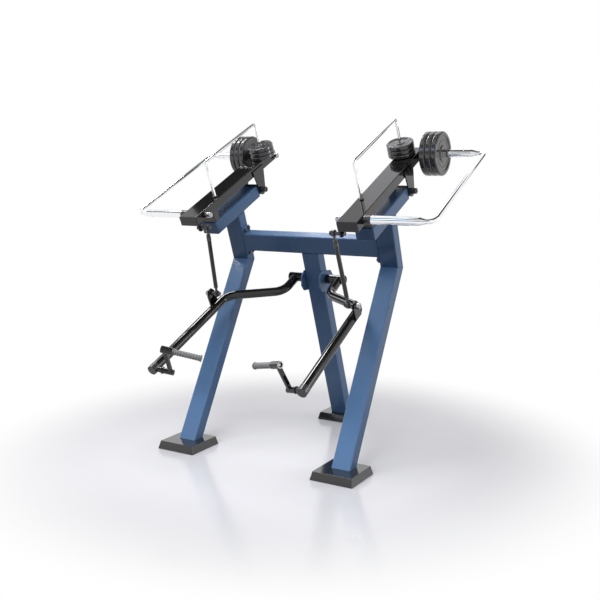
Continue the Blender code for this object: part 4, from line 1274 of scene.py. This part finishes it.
class GYM_OT_frame_tubes(bpy.types.Operator):
    """Make the painted legs, uprights, beams and axle lugs"""
    bl_idname = "gym.frame_tubes"
    bl_label = "Frame tubes"

    def execute(self, context):
        make_cross_beam()
        make_axle()
        return both_sides(make_legs, make_top_beam, make_bumper)


class GYM_OT_flanges(bpy.types.Operator):
    """Make the bolted flanges of the cross beam"""
    bl_idname = "gym.flanges"
    bl_label = "Bolted flanges"

    def execute(self, context):
        return both_sides(make_flange)


class GYM_OT_levers(bpy.types.Operator):
    """Make the lever boxes with their forks, pins and lugs"""
    bl_idname = "gym.levers"
    bl_label = "Lever boxes"

    def execute(self, context):
        return both_sides(make_lever_box, make_forks, make_rod_lug)


class GYM_OT_rails(bpy.types.Operator):
    """Make the chrome rails with their sleeves, collars and caps"""
    bl_idname = "gym.rails"
    bl_label = "Chrome rails"

    def execute(self, context):
        return both_sides(make_outer_rail, make_upper_rail)


class GYM_OT_discs(bpy.types.Operator):
    """Make the large and the small weight discs"""
    bl_idname = "gym.discs"
    bl_label = "Weight discs"

    def execute(self, context):
        return both_sides(make_discs)


class GYM_OT_rods(bpy.types.Operator):
    """Make the connecting rods and their bolts"""
    bl_idname = "gym.rods"
    bl_label = "Connecting rods"

    def execute(self, context):
        return both_sides(make_rod, make_rod_bolts)


class GYM_OT_arms(bpy.types.Operator):
    """Make the bent arms with their hubs and ears"""
    bl_idname = "gym.arms"
    bl_label = "Arms"

    def execute(self, context):
        return both_sides(make_arm, make_ear)


class GYM_OT_handles(bpy.types.Operator):
    """Make the swivelling handles and ribbed grips"""
    bl_idname = "gym.handles"
    bl_label = "Handles"

    def execute(self, context):
        return both_sides(make_handle, make_grip)


class GYM_OT_stage(bpy.types.Operator):
    """Make the floor, the lamps, the soft light and the camera"""
    bl_idname = "gym.stage"
    bl_label = "Stage"

    def execute(self, context):
        stage = context.scene.machine_stage
        context.scene.view_settings.view_transform = "Standard"
        make_floor()
        make_world(stage.ambient)
        for name, place, aim, size, power, spread, mirrored in LAMPS:
            make_lamp(name, place, aim, size, getattr(stage, power), spread, mirrored)
        for card in CARDS:
            make_card(*card)
        make_camera(stage)
        return {"FINISHED"}


STEPS = (GYM_OT_finishes, GYM_OT_shoes, GYM_OT_frame_tubes, GYM_OT_flanges, GYM_OT_levers, GYM_OT_rails,
         GYM_OT_discs, GYM_OT_rods, GYM_OT_arms, GYM_OT_handles, GYM_OT_stage)


class GYM_PT_machine(bpy.types.Panel):
    """Steps and settings of the standing biceps machine"""
    bl_idname = "GYM_PT_machine"
    bl_label = "Standing biceps machine"
    bl_space_type = "VIEW_3D"
    bl_region_type = "UI"
    bl_category = "Gym"

    def draw(self, context):
        for step in STEPS:
            self.layout.operator(step.bl_idname)
        for name, _ in GROUPS:
            group = getattr(context.scene, name)
            for key in group.bl_rna.properties.keys():
                if key not in ("rna_type", "name"):
                    self.layout.prop(group, key)


GROUPS = (("machine_colours", MachineColours), ("machine_sizes", MachineSizes),
          ("machine_stage", StageSettings))


def register():
    for name, group in GROUPS:
        bpy.utils.register_class(group)
        setattr(bpy.types.Scene, name, PointerProperty(type=group))
    for step in STEPS:
        bpy.utils.register_class(step)
    bpy.utils.register_class(GYM_PT_machine)


def unregister():
    bpy.utils.unregister_class(GYM_PT_machine)
    for step in reversed(STEPS):
        bpy.utils.unregister_class(step)
    for name, group in reversed(GROUPS):
        delattr(bpy.types.Scene, name)
        bpy.utils.unregister_class(group)


def main():
    register()
    bpy.ops.gym.finishes()
    bpy.ops.gym.shoes()
    bpy.ops.gym.frame_tubes()
    bpy.ops.gym.flanges()
    bpy.ops.gym.levers()
    bpy.ops.gym.rails()
    bpy.ops.gym.discs()
    bpy.ops.gym.rods()
    bpy.ops.gym.arms()
    bpy.ops.gym.handles()
    bpy.ops.gym.stage()


if __name__ == "__main__":
    main()
